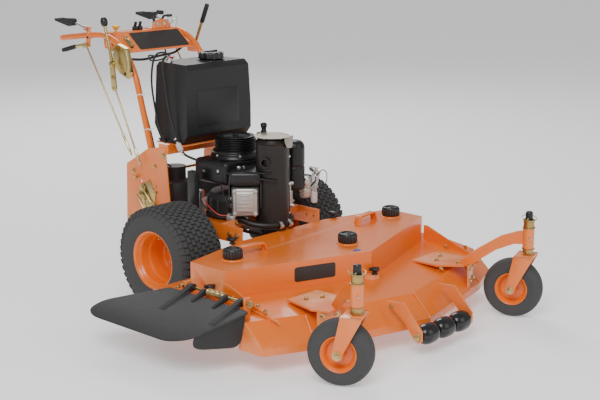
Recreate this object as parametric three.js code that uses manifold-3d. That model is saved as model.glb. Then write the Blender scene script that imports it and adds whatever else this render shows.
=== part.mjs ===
// Walk-behind wide-cut mower: three-spindle deck, hydrostatic drive, front casters, handlebar controls.
// Millimetres. Design frame: origin on the ground under the drive axle, front of the machine towards -Y,
// the machine's left towards +X, +Z up. The exported group is shifted so that its origin is the middle of
// the underside of its bounding box.
import * as THREE from "three";
import { mergeVertices } from "three/addons/utils/BufferGeometryUtils.js";
import Module from "manifold-3d";

const wasm = await Module();
wasm.setup();

// ---------------------------------------------------------------- driving dimensions
const GAP = 0.3; // between pieces that touch or are cut to fit
const ROUND = 18; // facets of a large round piece; wheels stand on one facet
const SMALL_ROUND = 12; // facets of pins, posts and bosses
const FACET_COS = Math.cos(Math.PI / ROUND);

const TANK_HALF_WIDTH = 196;
const HANDLE_X = TANK_HALF_WIDTH + 20;
const RAIL_INNER_X = HANDLE_X + 19;
const RAIL_PLATE = 5;

const DECK_REAR_Y = -235;
const DRIVE_TYRE_RADIUS = 231;
const DRIVE_TYRE_WIDTH = 225;
const DRIVE_TRACK_HALF = RAIL_INNER_X + RAIL_PLATE + 148;
const DRIVE_DECK_GAP = 39; // from the deck's rear wall to the tread
const DRIVE_AXLE_Y = DECK_REAR_Y + DRIVE_DECK_GAP + DRIVE_TYRE_RADIUS;
const DRIVE_RIM_RADIUS = 119;
const DRIVE_AXLE_Z = DRIVE_TYRE_RADIUS * FACET_COS;

const CASTER_TYRE_RADIUS = 127;
const CASTER_TYRE_WIDTH = 82;
const CASTER_RIM_RADIUS = 64;
const CASTER_AXLE_Z = CASTER_TYRE_RADIUS * FACET_COS;
const DECK_HALF_WIDTH = 716;
const CASTER_X = DECK_HALF_WIDTH - 171;
const CASTER_Y = -1160;
const CASTER_TRAIL = 58;
const CASTER_YAW = { right: 25, left: 20 }; // degrees about +Z at rest
const CASTER_POST_RADIUS = 15;
const CASTER_TUBE_RADIUS = 24;
const FORK_CROWN_GAP = 12; // from the tyre to the fork's crown
const FORK_PLATE = 8;
const FORK_PLATE_TOP = CASTER_AXLE_Z + CASTER_TYRE_RADIUS + FORK_CROWN_GAP + FORK_PLATE;
const CASTER_TUBE_BOTTOM = FORK_PLATE_TOP + 29;
const CASTER_TUBE_TOP = CASTER_TUBE_BOTTOM + 85;
const CASTER_POST_TOP = CASTER_TUBE_TOP + 70;
const CASTER_POST_FIT = 0.6; // round the post in its sleeve
const CASTER_BOLT_RADIUS = 9;

const ENGINE_DECK_Z = 340;
const ENGINE_DECK_PLATE = 6;
const ENGINE_DECK_FRONT = -128;
const ENGINE_Y = 30;
const ENGINE_DECK_REAR = 185;
const MUFFLER = [-6, -205]; // x, y of its axis
const MUFFLER_RADIUS = 72;
const MUFFLER_Z = { low: 330, high: 726 };
const CRANK_HOLE_RADIUS = 62;
const ENGINE_SEAT_Z = ENGINE_DECK_Z + ENGINE_DECK_PLATE + GAP;
const MOTOR_RADIUS = 52;
const RIM_HUB_INNER = 70; // how far the wheel hub reaches inboard of the wheel's mid plane

const DECK_WALL = 5;
const DECK_LIP_BOTTOM = 76;
const DECK_LIP_TOP = 108;
const DECK_FOLD_Z = 190;
const DECK_TOP_Z = 212;
const DECK_CORNER_Y = -850;
const DECK_KNEE = [DECK_HALF_WIDTH - 192, -935]; // plan corner between side and front edges
const DECK_APEX_Y = -1072;
const DECK_SLOPE_RUN = 85; // plan run of the sloped front plate
const DECK_BAND_RUN = 160; // plan run of the shallow band behind it

const BLADE_SIDE_GAP = 17; // from the outer blades' tips to the side walls
const BLADE_REAR_GAP = 10;
const BLADE_LENGTH = 0.657 * (DECK_HALF_WIDTH - DECK_WALL - BLADE_SIDE_GAP); // the three cuts overlap
const SPINDLE_X = DECK_HALF_WIDTH - DECK_WALL - BLADE_SIDE_GAP - BLADE_LENGTH / 2;
const SPINDLE_Y = DECK_REAR_Y - DECK_WALL - BLADE_REAR_GAP - BLADE_LENGTH / 2;
const SPINDLE_MIDDLE_Y = SPINDLE_Y - 152;
const SPINDLE_SHAFT_RADIUS = 12.7;
const HOUSING_RADIUS = 48;
const HOUSING_BOTTOM = 150;
const HOUSING_TOP = 254;
const PULLEY_RADIUS = 65;
const ENGINE_PULLEY_RADIUS = 75;
const PULLEY_GROOVE = 13;
const PULLEY_BOTTOM = 259;
const PULLEY_HEIGHT = 26;
const DRIVE_PULLEY_BOTTOM = PULLEY_BOTTOM + PULLEY_HEIGHT + 2;
const BLADE_TURN = { right: 35, middle: 90, left: -25 }; // degrees at rest
const BLADE_WIDTH = 63;
const BLADE_PLATE = 6;
const BLADE_Z = 104;

const COVER_TOP_Z = 322;
const COVER_WALL = 3;
const COVER_HALF_WIDTH = DECK_HALF_WIDTH - 104;
const COVER_SHOULDER_Y = -345;
const COVER_CORNER_Y = SPINDLE_Y - 67;
const COVER_APEX_Y = SPINDLE_MIDDLE_Y - 135;
const COVER_REAR = [260, -262]; // x, y of the rear corners
const KNOB_TAB_HEIGHT = 20;
const COVER_RIB_GAP = 8; // from the cover to the deck's side ribs
const SHAFT_TOP = COVER_TOP_Z - COVER_WALL - 3;

const CHUTE_HINGE_X = 44 - DECK_HALF_WIDTH;
const CHUTE_HINGE_Z = 247;
const CHUTE_ROD_RADIUS = 6;
const CHUTE_ROD_ENDS = [-745, -375];
const CHUTE_SLOPE_DEG = 18;
const CHUTE_PLATE = 7;

const ROLLER_Y = -1140;
const ROLLER_Z = 84;
const ROLLER_RADIUS = 40;
const ROLLER_LENGTH = 98;
const ROLLER_PITCH = 102;
const ROLLER_ARM_X = 158;
const ROLLER_ARM_PLATE = 8;
const ROLLER_AXLE_RADIUS = 8;

const HANDLE_TUBE_RADIUS = 14;
const LEVER_PIN_RADIUS = 5;
const GRIP_PIVOT = { presence: [765, 1146], drive: [775, 1066] }; // y, z of the two lever pins
const LEVER_X = HANDLE_X + 28;
const LEVER_BORE = LEVER_PIN_RADIUS + 0.5;
const ROD_PIN = [GRIP_PIVOT.drive[0] - 30, GRIP_PIVOT.drive[1] + 2]; // y, z where the control rod hangs
const ROD_PIN_RADIUS = 3.5;
const ROD_X = LEVER_X + 14;
const SPEED_PIVOT = [550, 1000]; // y, z
const SPEED_X = LEVER_X + 22;
const BRAKE_PIVOT = [560, 1046]; // y, z
const CONSOLE_HALF_WIDTH = HANDLE_X - 20;
const CONSOLE_TOP_Z = 1130;
const CONSOLE_WALL = 4;
const CHOKE = [-150, 662]; // x, y of the pull knob in the console's top

const TANK_FRONT_Y = 132;
const TANK_REAR_Y = 375;
const TANK_BOTTOM_Z = 668;
const TANK_TOP_Z = 1020;
const TANK_CAP = [30, 215]; // x, y of the filler
const TANK_CAP_RADIUS = 58;
const TANK_EDGE = 22; // chamfer of the tank's upper edges

// ---------------------------------------------------------------- materials
const paint = (color) => new THREE.MeshStandardMaterial({ color, roughness: 0.35, metalness: 0.1 });
const orange = () => paint(0xf07a2d);
const blackPlastic = () => new THREE.MeshStandardMaterial({ color: 0x1c1c1e, roughness: 0.55 });
const blackRubber = () => new THREE.MeshStandardMaterial({ color: 0x202022, roughness: 0.85 });
const blackPaint = () => new THREE.MeshStandardMaterial({ color: 0x181818, roughness: 0.4, metalness: 0.3 });
const zinc = () => new THREE.MeshStandardMaterial({ color: 0xb9a468, roughness: 0.35, metalness: 0.9 });
const steel = () => new THREE.MeshStandardMaterial({ color: 0x8d8f92, roughness: 0.4, metalness: 0.9 });
const castMetal = () => new THREE.MeshStandardMaterial({ color: 0x3c3d3f, roughness: 0.6, metalness: 0.6 });
const yellowPlastic = () => new THREE.MeshStandardMaterial({ color: 0xf0b81e, roughness: 0.5 });

// ---------------------------------------------------------------- geometry helpers
const rad = THREE.MathUtils.degToRad;
const root = new THREE.Group();

function add(name, geometry, material, parent = root) {
  const mesh = new THREE.Mesh(geometry, material);
  mesh.name = name;
  parent.add(mesh);
  return mesh;
}

function box(size, centre) {
  return new THREE.BoxGeometry(...size).translate(...centre);
}

// A cylinder from point a to point b.
function rod(a, b, radius, sides = SMALL_ROUND) {
  const start = new THREE.Vector3(...a);
  const span = new THREE.Vector3(...b).sub(start);
  const turn = new THREE.Quaternion().setFromUnitVectors(new THREE.Vector3(0, 1, 0),
      span.clone().normalize());
  const middle = start.clone().addScaledVector(span, 0.5);
  return new THREE.CylinderGeometry(radius, radius, span.length(), sides)
    .rotateY(Math.PI / sides)
    .applyQuaternion(turn)
    .translate(middle.x, middle.y, middle.z);
}

// A round bar along a smooth curve through the points.
function bar(points, radius, steps, sides = 10) {
  const ring = Array.from({ length: sides }, (_, i) => {
    const angle = (2 * Math.PI * i) / sides;
    return new THREE.Vector2(radius * Math.cos(angle), radius * Math.sin(angle));
  });
  const curve = new THREE.CatmullRomCurve3(points.map((p) => new THREE.Vector3(...p)), false, "centripetal");
  return new THREE.ExtrudeGeometry(new THREE.Shape(ring), { extrudePath: curve, steps, bevelEnabled: false });
}

// A flat shape from its corners, in either order, with round holes given as x, y and radius.
function outline(points, holes = []) {
  const corners = points.map((p) => new THREE.Vector2(...p));
  if (THREE.ShapeUtils.isClockWise(corners)) corners.reverse();
  const shape = new THREE.Shape(corners);
  for (const [x, y, radius] of holes) {
    shape.holes.push(new THREE.Path().absarc(x, y, radius, 0, 2 * Math.PI, true));
  }
  return shape;
}

// Plates: the outline lies in the named plane and the thickness runs up the third axis from "at".
function plateXY(shape, thickness, at) {
  return new THREE.ExtrudeGeometry(shape,
      { depth: thickness, bevelEnabled: false, curveSegments: 6 }).translate(0, 0, at);
}
function plateYZ(shape, thickness, at) {
  const axes = new THREE.Matrix4().set(0, 0, 1, at, 1, 0, 0, 0, 0, 1, 0, 0, 0, 0, 0, 1);
  return new THREE.ExtrudeGeometry(shape,
      { depth: thickness, bevelEnabled: false, curveSegments: 6 }).applyMatrix4(axes);
}

// A turned piece: pairs of radius and height, about +Z or, laid down, about +X.
function turned(profile, sides = ROUND) {
  const points = profile.map(([radius, height]) => new THREE.Vector2(radius, height));
  return new THREE.LatheGeometry(points, sides, Math.PI / sides).rotateX(Math.PI / 2);
}
function turnedAlongX(profile, sides = ROUND) {
  const points = profile.map(([radius, height]) => new THREE.Vector2(radius, height));
  return new THREE.LatheGeometry(points, sides, Math.PI / sides).rotateZ(-Math.PI / 2);
}
// A profile that ends on its own first point, for a ring.
const ring = (profile) => [...profile, profile[0]];
// A turned profile from its half on one side: radius and distance from the middle.
const bothSides = (half) => [...half.map(([radius, along]) => [radius, -along]), ...half.toReversed()];

// The same piece on the machine's other side.
function mirrored(geometry) {
  const flat = geometry.index ? geometry.toNonIndexed() : geometry.clone();
  const flipped = flat.scale(-1, 1, 1);
  const position = flipped.getAttribute("position");
  for (let i = 0; i < position.count; i += 3) {
    const second = new THREE.Vector3().fromBufferAttribute(position, i + 1);
    const third = new THREE.Vector3().fromBufferAttribute(position, i + 2);
    position.setXYZ(i + 1, third.x, third.y, third.z);
    position.setXYZ(i + 2, second.x, second.y, second.z);
  }
  return flipped;
}

function solid(geometry) {
  const bare = (geometry.index ? geometry.toNonIndexed() : geometry.clone()).deleteAttribute(
      "normal").deleteAttribute("uv");
  const merged = mergeVertices(bare, 1e-3);
  const vertProperties = new Float32Array(merged.attributes.position.array);
  return new wasm.Manifold(new wasm.Mesh(
      { numProp: 3, vertProperties, triVerts: new Uint32Array(merged.index.array) }));
}
function geometryOf(body) {
  const mesh = body.getMesh();
  const geometry = new THREE.BufferGeometry();
  const vertices = new Float32Array(mesh.numVert * 3);
  for (let i = 0; i < mesh.numVert; i += 1) {
    vertices.set(mesh.vertProperties.subarray(i * mesh.numProp, i * mesh.numProp + 3), i * 3);
  }
  geometry.setAttribute("position", new THREE.BufferAttribute(vertices, 3));
  geometry.setIndex(new THREE.BufferAttribute(new Uint32Array(mesh.triVerts), 1));
  geometry.computeVertexNormals();
  return geometry;
}
const joined = (...pieces) => geometryOf(pieces.map(solid).reduce((whole, piece) => whole.add(piece)));
const cutFrom = (body, ...cuts) => geometryOf(
    cuts.map(solid).reduce((whole, cut) => whole.subtract(cut), solid(body)));

// ---------------------------------------------------------------- chassis
function frameRail() {
  const axle = DRIVE_AXLE_Y;
  const keel = DRIVE_AXLE_Z - MOTOR_RADIUS - 15;
  const edge = [
    [-255, 372], [-255, 300], [axle - 105, 300], [axle - 80, keel], [axle + 80, keel],
        [axle + 110, keel + 65],
    [510, keel + 75], [500, 548], [340, 640], [230, 655], [200, 372],
  ];
  const boltHoles = [[-225, 335, 6], [-180, 335, 6], [-225, 355, 3], [-180, 355, 3], [330, 330, 14],
      [400, 480, 7]];
  const motorHole = [axle, DRIVE_AXLE_Z, MOTOR_RADIUS * 1.05];
  return plateYZ(outline(edge, [...boltHoles, motorHole]), RAIL_PLATE, RAIL_INNER_X);
}

function buildChassis() {
  const rail = frameRail();
  add("frame_rail_left", rail, orange());
  add("frame_rail_right", mirrored(rail), orange());
  const reach = RAIL_INNER_X - GAP;
  const crankHole = [0, ENGINE_Y, CRANK_HOLE_RADIUS];
  const deckEdge = [
    [-reach, ENGINE_DECK_FRONT], [reach, ENGINE_DECK_FRONT], [reach, ENGINE_DECK_REAR],
        [-reach, ENGINE_DECK_REAR],
  ];
  const top = plateXY(outline(deckEdge, [crankHole]), ENGINE_DECK_PLATE, ENGINE_DECK_Z);
  const frontLip = box([2 * reach, 5, 34], [0, ENGINE_DECK_FRONT + 2.5, ENGINE_DECK_Z + 16]);
  add("engine_deck", joined(top, frontLip), orange());
  const shelfTop = TANK_BOTTOM_Z - GAP;
  const shelfReach = HANDLE_X - HANDLE_TUBE_RADIUS - 2;
  const shelf = box([2 * shelfReach, 190, 5], [0, 240, shelfTop - 2.5]);
  const shelfLip = box([2 * reach, 5, 45], [0, 222.5, shelfTop - 22.5]);
  const foot = box([5, 60, 45], [reach - 2.5, 250, shelfTop - 22.5]);
  add("tank_shelf", joined(shelf, shelfLip, foot, mirrored(foot)), orange());
  const motor = turnedAlongX([
    [0, 130], [44, 130], [MOTOR_RADIUS, 138], [MOTOR_RADIUS, RAIL_INNER_X + 12], [34, RAIL_INNER_X + 14],
    [34, DRIVE_TRACK_HALF - RIM_HUB_INNER - 1], [0, DRIVE_TRACK_HALF - RIM_HUB_INNER - 1],
  ]).translate(0, DRIVE_AXLE_Y, DRIVE_AXLE_Z);
  add("wheel_motor_left", motor, castMetal());
  add("wheel_motor_right", mirrored(motor), castMetal());
  const pump = turned([[0, 372], [62, 372], [70, 380], [70, 470], [48, 482], [48, 540], [0, 540]],
      16).translate(95, 330, 0);
  const tray = box([320, 110, 8], [0, 330, 372]);
  add("hydro_pumps", joined(pump, mirrored(pump), tray), castMetal());
}

// ---------------------------------------------------------------- drive wheels
function buildDriveWheels() {
  const half = DRIVE_TYRE_WIDTH / 2;
  const bead = DRIVE_RIM_RADIUS + GAP;
  const crown = DRIVE_TYRE_RADIUS;
  const flank = [[bead, half - 18], [bead + 31, half - 2], [crown - 39, half], [crown - 11, half - 10],
      [crown, half - 34]];
  const tyre = turnedAlongX(ring(bothSides(flank)));
  const barrel = DRIVE_RIM_RADIUS - 7;
  const rimHalf = half - 19.5;
  const rim = turnedAlongX([
    [0, -RIM_HUB_INNER], [38, -RIM_HUB_INNER], [38, -38], [barrel, -38], [barrel + 1, 3 - rimHalf],
    [DRIVE_RIM_RADIUS, -rimHalf], [DRIVE_RIM_RADIUS, rimHalf], [barrel, rimHalf], [barrel, -29], [46, -29],
        [44, -8],
    [22, -6], [22, 8], [0, 8],
  ]);
  for (const [side, sign] of [["left", 1], ["right", -1]]) {
    const place = (geometry) => (sign > 0 ? geometry.clone() : mirrored(geometry));
    const wheel = new THREE.Group();
    wheel.position.set(sign * DRIVE_TRACK_HALF, DRIVE_AXLE_Y, DRIVE_AXLE_Z);
    add(`drive_rim_${side}`, place(rim), orange(), wheel);
    add(`drive_tyre_${side}`, place(tyre), blackRubber(), wheel);
    root.add(wheel);
  }
}

// ---------------------------------------------------------------- cutter deck
// The deck's outer form drawn in by "inset" on every wall: an extruded plan, less the space over each
// sloped front plate.
function deckForm(inset, bottom) {
  const side = DECK_HALF_WIDTH - inset;
  const rear = DECK_REAR_Y - inset;
  const cornerY = DECK_CORNER_Y + inset * 0.6;
  const knee = [DECK_KNEE[0] - inset * 0.4, DECK_KNEE[1] + inset];
  const apexY = DECK_APEX_Y + inset * 1.05;
  const right = [[side, cornerY], knee];
  const left = [[-knee[0], knee[1]], [-side, cornerY]];
  const plan = [[-side, rear], ...left.reverse(), [0, apexY], ...right.reverse(), [side, rear]];
  let form = solid(plateXY(outline(plan), DECK_TOP_Z - inset - bottom, bottom));
  // Two planes over each front edge: the steep front plate, and the shallow band behind its fold.
  const steep = Math.atan2(DECK_FOLD_Z - DECK_LIP_TOP, DECK_SLOPE_RUN);
  const shallow = Math.atan2(DECK_TOP_Z - DECK_FOLD_Z, DECK_BAND_RUN);
  const planes = [
    [0, DECK_LIP_TOP - inset * Math.tan(steep / 2), steep],
    [DECK_SLOPE_RUN, DECK_FOLD_Z - inset, shallow],
  ];
  const clear = 500;
  for (const [from, to] of [[[0, apexY], knee], [knee, [side, cornerY]]]) {
    const edge = new THREE.Vector2(to[0] - from[0], to[1] - from[1]);
    const place = new THREE.Matrix4()
      .makeRotationZ(Math.atan2(edge.y, edge.x))
      .setPosition((from[0] + to[0]) / 2, (from[1] + to[1]) / 2, 0);
    for (const [inboard, height, tilt] of planes) {
      const over = new THREE.BoxGeometry(edge.length() + clear, clear, clear)
        .translate(0, 0, clear / 2)
        .rotateX(tilt)
        .translate(0, inboard, height)
        .applyMatrix4(place);
      form = form.subtract(solid(over)).subtract(solid(mirrored(over)));
    }
  }
  return form;
}

const SPINDLES = { right: [-SPINDLE_X, SPINDLE_Y], middle: [0, SPINDLE_MIDDLE_Y],
    left: [SPINDLE_X, SPINDLE_Y] };

function buildDeck() {
  let shell = deckForm(0, DECK_LIP_BOTTOM).subtract(deckForm(DECK_WALL, DECK_LIP_BOTTOM - 10));
  const outlet = box([40, 330, 108], [-DECK_HALF_WIDTH, -560, DECK_LIP_BOTTOM + 44]);
  shell = shell.subtract(solid(outlet));
  const sideRib = plateYZ(outline(
      [[-548, DECK_TOP_Z - 2], [-852, DECK_TOP_Z - 30], [-700, 232], [-570, 280], [-548, 280]]), 6,
      COVER_HALF_WIDTH + COVER_RIB_GAP);
  const lug = (y) => box([30, 10, 92], [CHUTE_HINGE_X, y, DECK_TOP_Z + 11]);
  for (const piece of [sideRib, mirrored(sideRib), lug(CHUTE_ROD_ENDS[0] + 20),
      lug(CHUTE_ROD_ENDS[1] - 20)]) {
    shell = shell.add(solid(piece));
  }
  const hingeBore = rod([CHUTE_HINGE_X, -800, CHUTE_HINGE_Z], [CHUTE_HINGE_X, -300, CHUTE_HINGE_Z],
      CHUTE_ROD_RADIUS + GAP);
  shell = shell.subtract(solid(hingeBore));
  for (const [x, y] of Object.values(SPINDLES)) {
    const housing = turned([[0, HOUSING_BOTTOM], [HOUSING_RADIUS, HOUSING_BOTTOM],
        [HOUSING_RADIUS + 28, DECK_TOP_Z - 8],
      [HOUSING_RADIUS + 28, DECK_TOP_Z + 6], [HOUSING_RADIUS - 8, DECK_TOP_Z + 10],
          [HOUSING_RADIUS - 12, HOUSING_TOP], [0, HOUSING_TOP]], 16);
    const bore = rod([x, y, 0], [x, y, 400], SPINDLE_SHAFT_RADIUS + 0.8, ROUND);
    shell = shell.add(solid(housing.translate(x, y, 0))).subtract(solid(bore));
  }
  add("deck_shell", geometryOf(shell), orange());
}

function coverForm(inset, bottom) {
  const side = COVER_HALF_WIDTH - inset;
  const plan = [[-side, COVER_SHOULDER_Y], [-side, COVER_CORNER_Y + inset * 0.8],
      [0, COVER_APEX_Y + inset * 1.07],
    [side, COVER_CORNER_Y + inset * 0.8], [side, COVER_SHOULDER_Y], [COVER_REAR[0], COVER_REAR[1]],
        [-COVER_REAR[0], COVER_REAR[1]]];
  return solid(plateXY(outline(plan), COVER_TOP_Z - inset - bottom, bottom));
}

// Knobs clamp the belt cover: two on its rear edge, one at its front point and one by its right corner.
const KNOBS = {
  rear_right: [-315, -272, COVER_TOP_Z],
  rear_left: [315, -272, COVER_TOP_Z],
  front: [-14, COVER_APEX_Y - 30, DECK_TOP_Z + KNOB_TAB_HEIGHT],
  corner: [-COVER_HALF_WIDTH - 24, -485, DECK_TOP_Z + KNOB_TAB_HEIGHT],
};

function buildCover() {
  const base = DECK_TOP_Z + GAP;
  const openRear = box([3000, 400, 400], [0, COVER_SHOULDER_Y + 200, 0]);
  const hollow = coverForm(COVER_WALL, base - 10);
  const rearGap = solid(openRear.translate(0, 0, COVER_TOP_Z - COVER_WALL - 200));
  let cover = coverForm(0, base).subtract(hollow).subtract(rearGap);
  const tab = (x, y) => box([46, 40, KNOB_TAB_HEIGHT], [x, y, base + KNOB_TAB_HEIGHT / 2]);
  cover = cover.add(solid(tab(KNOBS.front[0], KNOBS.front[1] + 14)));
  cover = cover.add(solid(tab(KNOBS.corner[0] + 4, KNOBS.corner[1])));
  const strap = (x, y, heading) => {
    const bail = bar([[-62, 0, 0], [-60, 0, 26], [-44, 0, 32], [44, 0, 32], [60, 0, 26], [62, 0, 0]], 5, 12,
        6);
    return bail.rotateZ(rad(heading)).translate(x, y, COVER_TOP_Z - 2);
  };
  cover = cover.add(solid(strap(-355, -428, -8))).add(solid(strap(355, -428, 8)));
  add("belt_cover", geometryOf(cover), orange());

  for (const [name, [x, y, z]] of Object.entries(KNOBS)) {
    const stem = rod([0, 0, 0.5], [0, 0, 24], 9);
    const wing = box([46, 11, 20], [0, 0, 24]);
    const knob = joined(stem, wing, box([11, 30, 18], [0, 0, 23]));
    add(`cover_knob_${name}`, knob.translate(x, y, z), blackPlastic());
  }
}

function pulleyProfile(radius, bottom) {
  const top = bottom + PULLEY_HEIGHT;
  return [[radius, bottom], [radius, bottom + 5], [radius - PULLEY_GROOVE, bottom + 6],
    [radius - PULLEY_GROOVE, top - 6], [radius, top - 5], [radius, top]];
}

function buildCutters() {
  const shaft = SPINDLE_SHAFT_RADIUS;
  for (const [name, [x, y]] of Object.entries(SPINDLES)) {
    const driven = name === "middle";
    const pulleysTop = (driven ? DRIVE_PULLEY_BOTTOM : PULLEY_BOTTOM) + PULLEY_HEIGHT;
    const spindle = turned([
      [0, BLADE_Z - 14], [19, BLADE_Z - 14], [19, BLADE_Z - GAP], [shaft, BLADE_Z - GAP],
      [shaft, BLADE_Z + BLADE_PLATE + GAP], [24, BLADE_Z + BLADE_PLATE + GAP], [24, HOUSING_BOTTOM - 2],
      [shaft, HOUSING_BOTTOM - 2], [shaft, HOUSING_TOP + 2], [30, HOUSING_TOP + 2], [30, PULLEY_BOTTOM],
      ...pulleyProfile(PULLEY_RADIUS, PULLEY_BOTTOM),
      ...(driven ? pulleyProfile(PULLEY_RADIUS, DRIVE_PULLEY_BOTTOM) : []),
      [shaft + 6, pulleysTop], [shaft + 6, SHAFT_TOP], [0, SHAFT_TOP],
    ], 16);
    add(`spindle_${name}`, spindle.translate(x, y, 0), steel());
    const half = BLADE_LENGTH / 2;
    const wide = BLADE_WIDTH / 2;
    const plan = [[-half, -wide], [half, -wide + 14], [half, wide], [-half, wide - 14]];
    const flat = plateXY(outline(plan, [[0, 0, shaft + 0.6]]), BLADE_PLATE, BLADE_Z);
    const sail = (sign) => box([110, 9, 14],
        [sign * (half - 57), -sign * (wide - 8), BLADE_Z + BLADE_PLATE + 5]);
    add(`blade_${name}`, joined(flat, sail(1), sail(-1)).rotateZ(rad(BLADE_TURN[name])).translate(x, y, 0),
        steel());
  }
  const crank = turned([
    [0, 276], [20, 276], [20, DRIVE_PULLEY_BOTTOM],
        ...pulleyProfile(ENGINE_PULLEY_RADIUS, DRIVE_PULLEY_BOTTOM),
    [58, DRIVE_PULLEY_BOTTOM + PULLEY_HEIGHT], [58, 330], [14, 332], [14, ENGINE_SEAT_Z + 24],
        [0, ENGINE_SEAT_Z + 24],
  ]);
  add("crankshaft", crank.translate(0, ENGINE_Y, 0), steel());
  const station = ([x, y]) => [x, y, PULLEY_RADIUS];
  add("deck_belt", beltLoop(Object.values(SPINDLES).map(station), PULLEY_BOTTOM), blackRubber());
  add("drive_belt", beltLoop([[0, ENGINE_Y, ENGINE_PULLEY_RADIUS], station(SPINDLES.middle)],
      DRIVE_PULLEY_BOTTOM), blackRubber());
}

// A V-belt round pulleys (x, y, radius) taken counter-clockwise with every pulley inside the loop.
function beltLoop(centres, bottom) {
  const clearance = 0.8;
  const thick = 10;
  const loop = (extra) => {
    const count = centres.length;
    const normals = centres.map(([x, y, radius], i) => {
      const [nextX, nextY, nextRadius] = centres[(i + 1) % count];
      const reach = Math.hypot(nextX - x, nextY - y);
      const along = Math.atan2(nextY - y, nextX - x);
      return along - Math.acos((radius - nextRadius) / reach);
    });
    const points = [];
    centres.forEach(([x, y, radius], i) => {
      const from = normals[(i + count - 1) % count];
      const sweep = THREE.MathUtils.euclideanModulo(normals[i] - from, 2 * Math.PI);
      const steps = Math.max(2, Math.ceil(sweep / rad(16)));
      for (let k = 0; k <= steps; k += 1) {
        const angle = from + (sweep * k) / steps;
        const reach = radius - PULLEY_GROOVE + clearance + extra;
        points.push(new THREE.Vector2(x + reach * Math.cos(angle), y + reach * Math.sin(angle)));
      }
    });
    return points;
  };
  const shape = new THREE.Shape(loop(thick));
  shape.holes.push(new THREE.Path(loop(0.4).reverse()));
  return plateXY(shape, PULLEY_HEIGHT - 13.5, bottom + 6.8);
}

// ---------------------------------------------------------------- discharge chute
function buildChute() {
  const hinge = [CHUTE_HINGE_X, CHUTE_HINGE_Z];
  const tilt = rad(CHUTE_SLOPE_DEG);
  // Plan of the top sheet measured outwards from the hinge line, then tilted down about it.
  const plan = [[-30, -330], [-215, -125], [-292, -112], [-316, -140], [-316, -640], [-290, -688],
      [-50, -778], [-34, -765]];
  const sheet = plateXY(outline(plan), CHUTE_PLATE, -CHUTE_PLATE);
  const skirtEdge = [[-72, -3], [-292, -3], [-300, -48], [-140, -122], [-118, -112]];
  const skirt = new THREE.ExtrudeGeometry(outline(skirtEdge), { depth: CHUTE_PLATE, bevelEnabled: false })
    .rotateX(Math.PI / 2)
    .applyMatrix4(new THREE.Matrix4().makeRotationZ(-Math.atan2(90, 240)))
    .translate(15, -789, 0);
  const arms = [-700, -420].map((y) => joined(
    box([150, 22, 12], [-85, y, 4]),
    rod([0, y - 11, 0], [0, y + 11, 0], 15),
    box([40, 22, 22], [-20, y, 0]),
  ));
  const body = joined(sheet, skirt, ...arms);
  const tilted = body.applyMatrix4(new THREE.Matrix4().makeRotationY(-tilt)).translate(hinge[0], 0, hinge[1]);
  const bore = rod([hinge[0], -900, hinge[1]], [hinge[0], -200, hinge[1]], CHUTE_ROD_RADIUS + GAP,
      SMALL_ROUND);
  add("discharge_chute", cutFrom(tilted, bore), blackPlastic());
  const pin = rod([hinge[0], CHUTE_ROD_ENDS[0], hinge[1]], [hinge[0], CHUTE_ROD_ENDS[1], hinge[1]],
      CHUTE_ROD_RADIUS);
  const spring = rod([hinge[0], -620, hinge[1]], [hinge[0], -510, hinge[1]], 14);
  add("chute_hinge_rod", joined(pin, spring), zinc());
}

// ---------------------------------------------------------------- casters
function casterArm() {
  const base = new THREE.Vector2(CASTER_X - 153, -905);
  const tube = new THREE.Vector2(CASTER_X, CASTER_Y);
  const reach = base.distanceTo(tube);
  const heading = Math.atan2(tube.y - base.y, tube.x - base.x);
  // The arm's side outline: along the arm, height.
  const [high, low] = [CASTER_TUBE_TOP - 8, CASTER_TUBE_BOTTOM + 17];
  const seat = DECK_TOP_Z + 3;
  const top = [[0, seat], [reach * 0.3, high - 90], [reach * 0.62, high - 30], [reach * 0.84, high - 8],
      [reach, high]];
  const under = [[reach, low], [reach * 0.8, low - 2], [reach * 0.55, low - 32], [reach * 0.32, low - 80],
      [reach * 0.22, seat]];
  const web = new THREE.ExtrudeGeometry(outline([...under.reverse(), ...top.reverse()]),
      { depth: 14, bevelEnabled: false })
    .rotateX(Math.PI / 2)
    .translate(0, 7, 0)
    .applyMatrix4(new THREE.Matrix4().makeRotationZ(heading).setPosition(base.x, base.y, 0));
  const footEdge = [[-92, 165], [78, 165], [108, 15], [78, -57], [-12, -45], [-92, 35]];
  const foot = plateXY(outline(footEdge), 8, DECK_TOP_Z + GAP).translate(base.x, base.y, 0);
  const sleeve = turned([[0, CASTER_TUBE_BOTTOM], [CASTER_TUBE_RADIUS, CASTER_TUBE_BOTTOM],
      [CASTER_TUBE_RADIUS, CASTER_TUBE_TOP], [0, CASTER_TUBE_TOP]], 20);
  const bore = rod([CASTER_X, CASTER_Y, 0], [CASTER_X, CASTER_Y, 600], CASTER_POST_RADIUS + CASTER_POST_FIT,
      20);
  const arm = joined(web, foot, sleeve.translate(CASTER_X, CASTER_Y, 0));
  return cutFrom(arm, bore);
}

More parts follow.
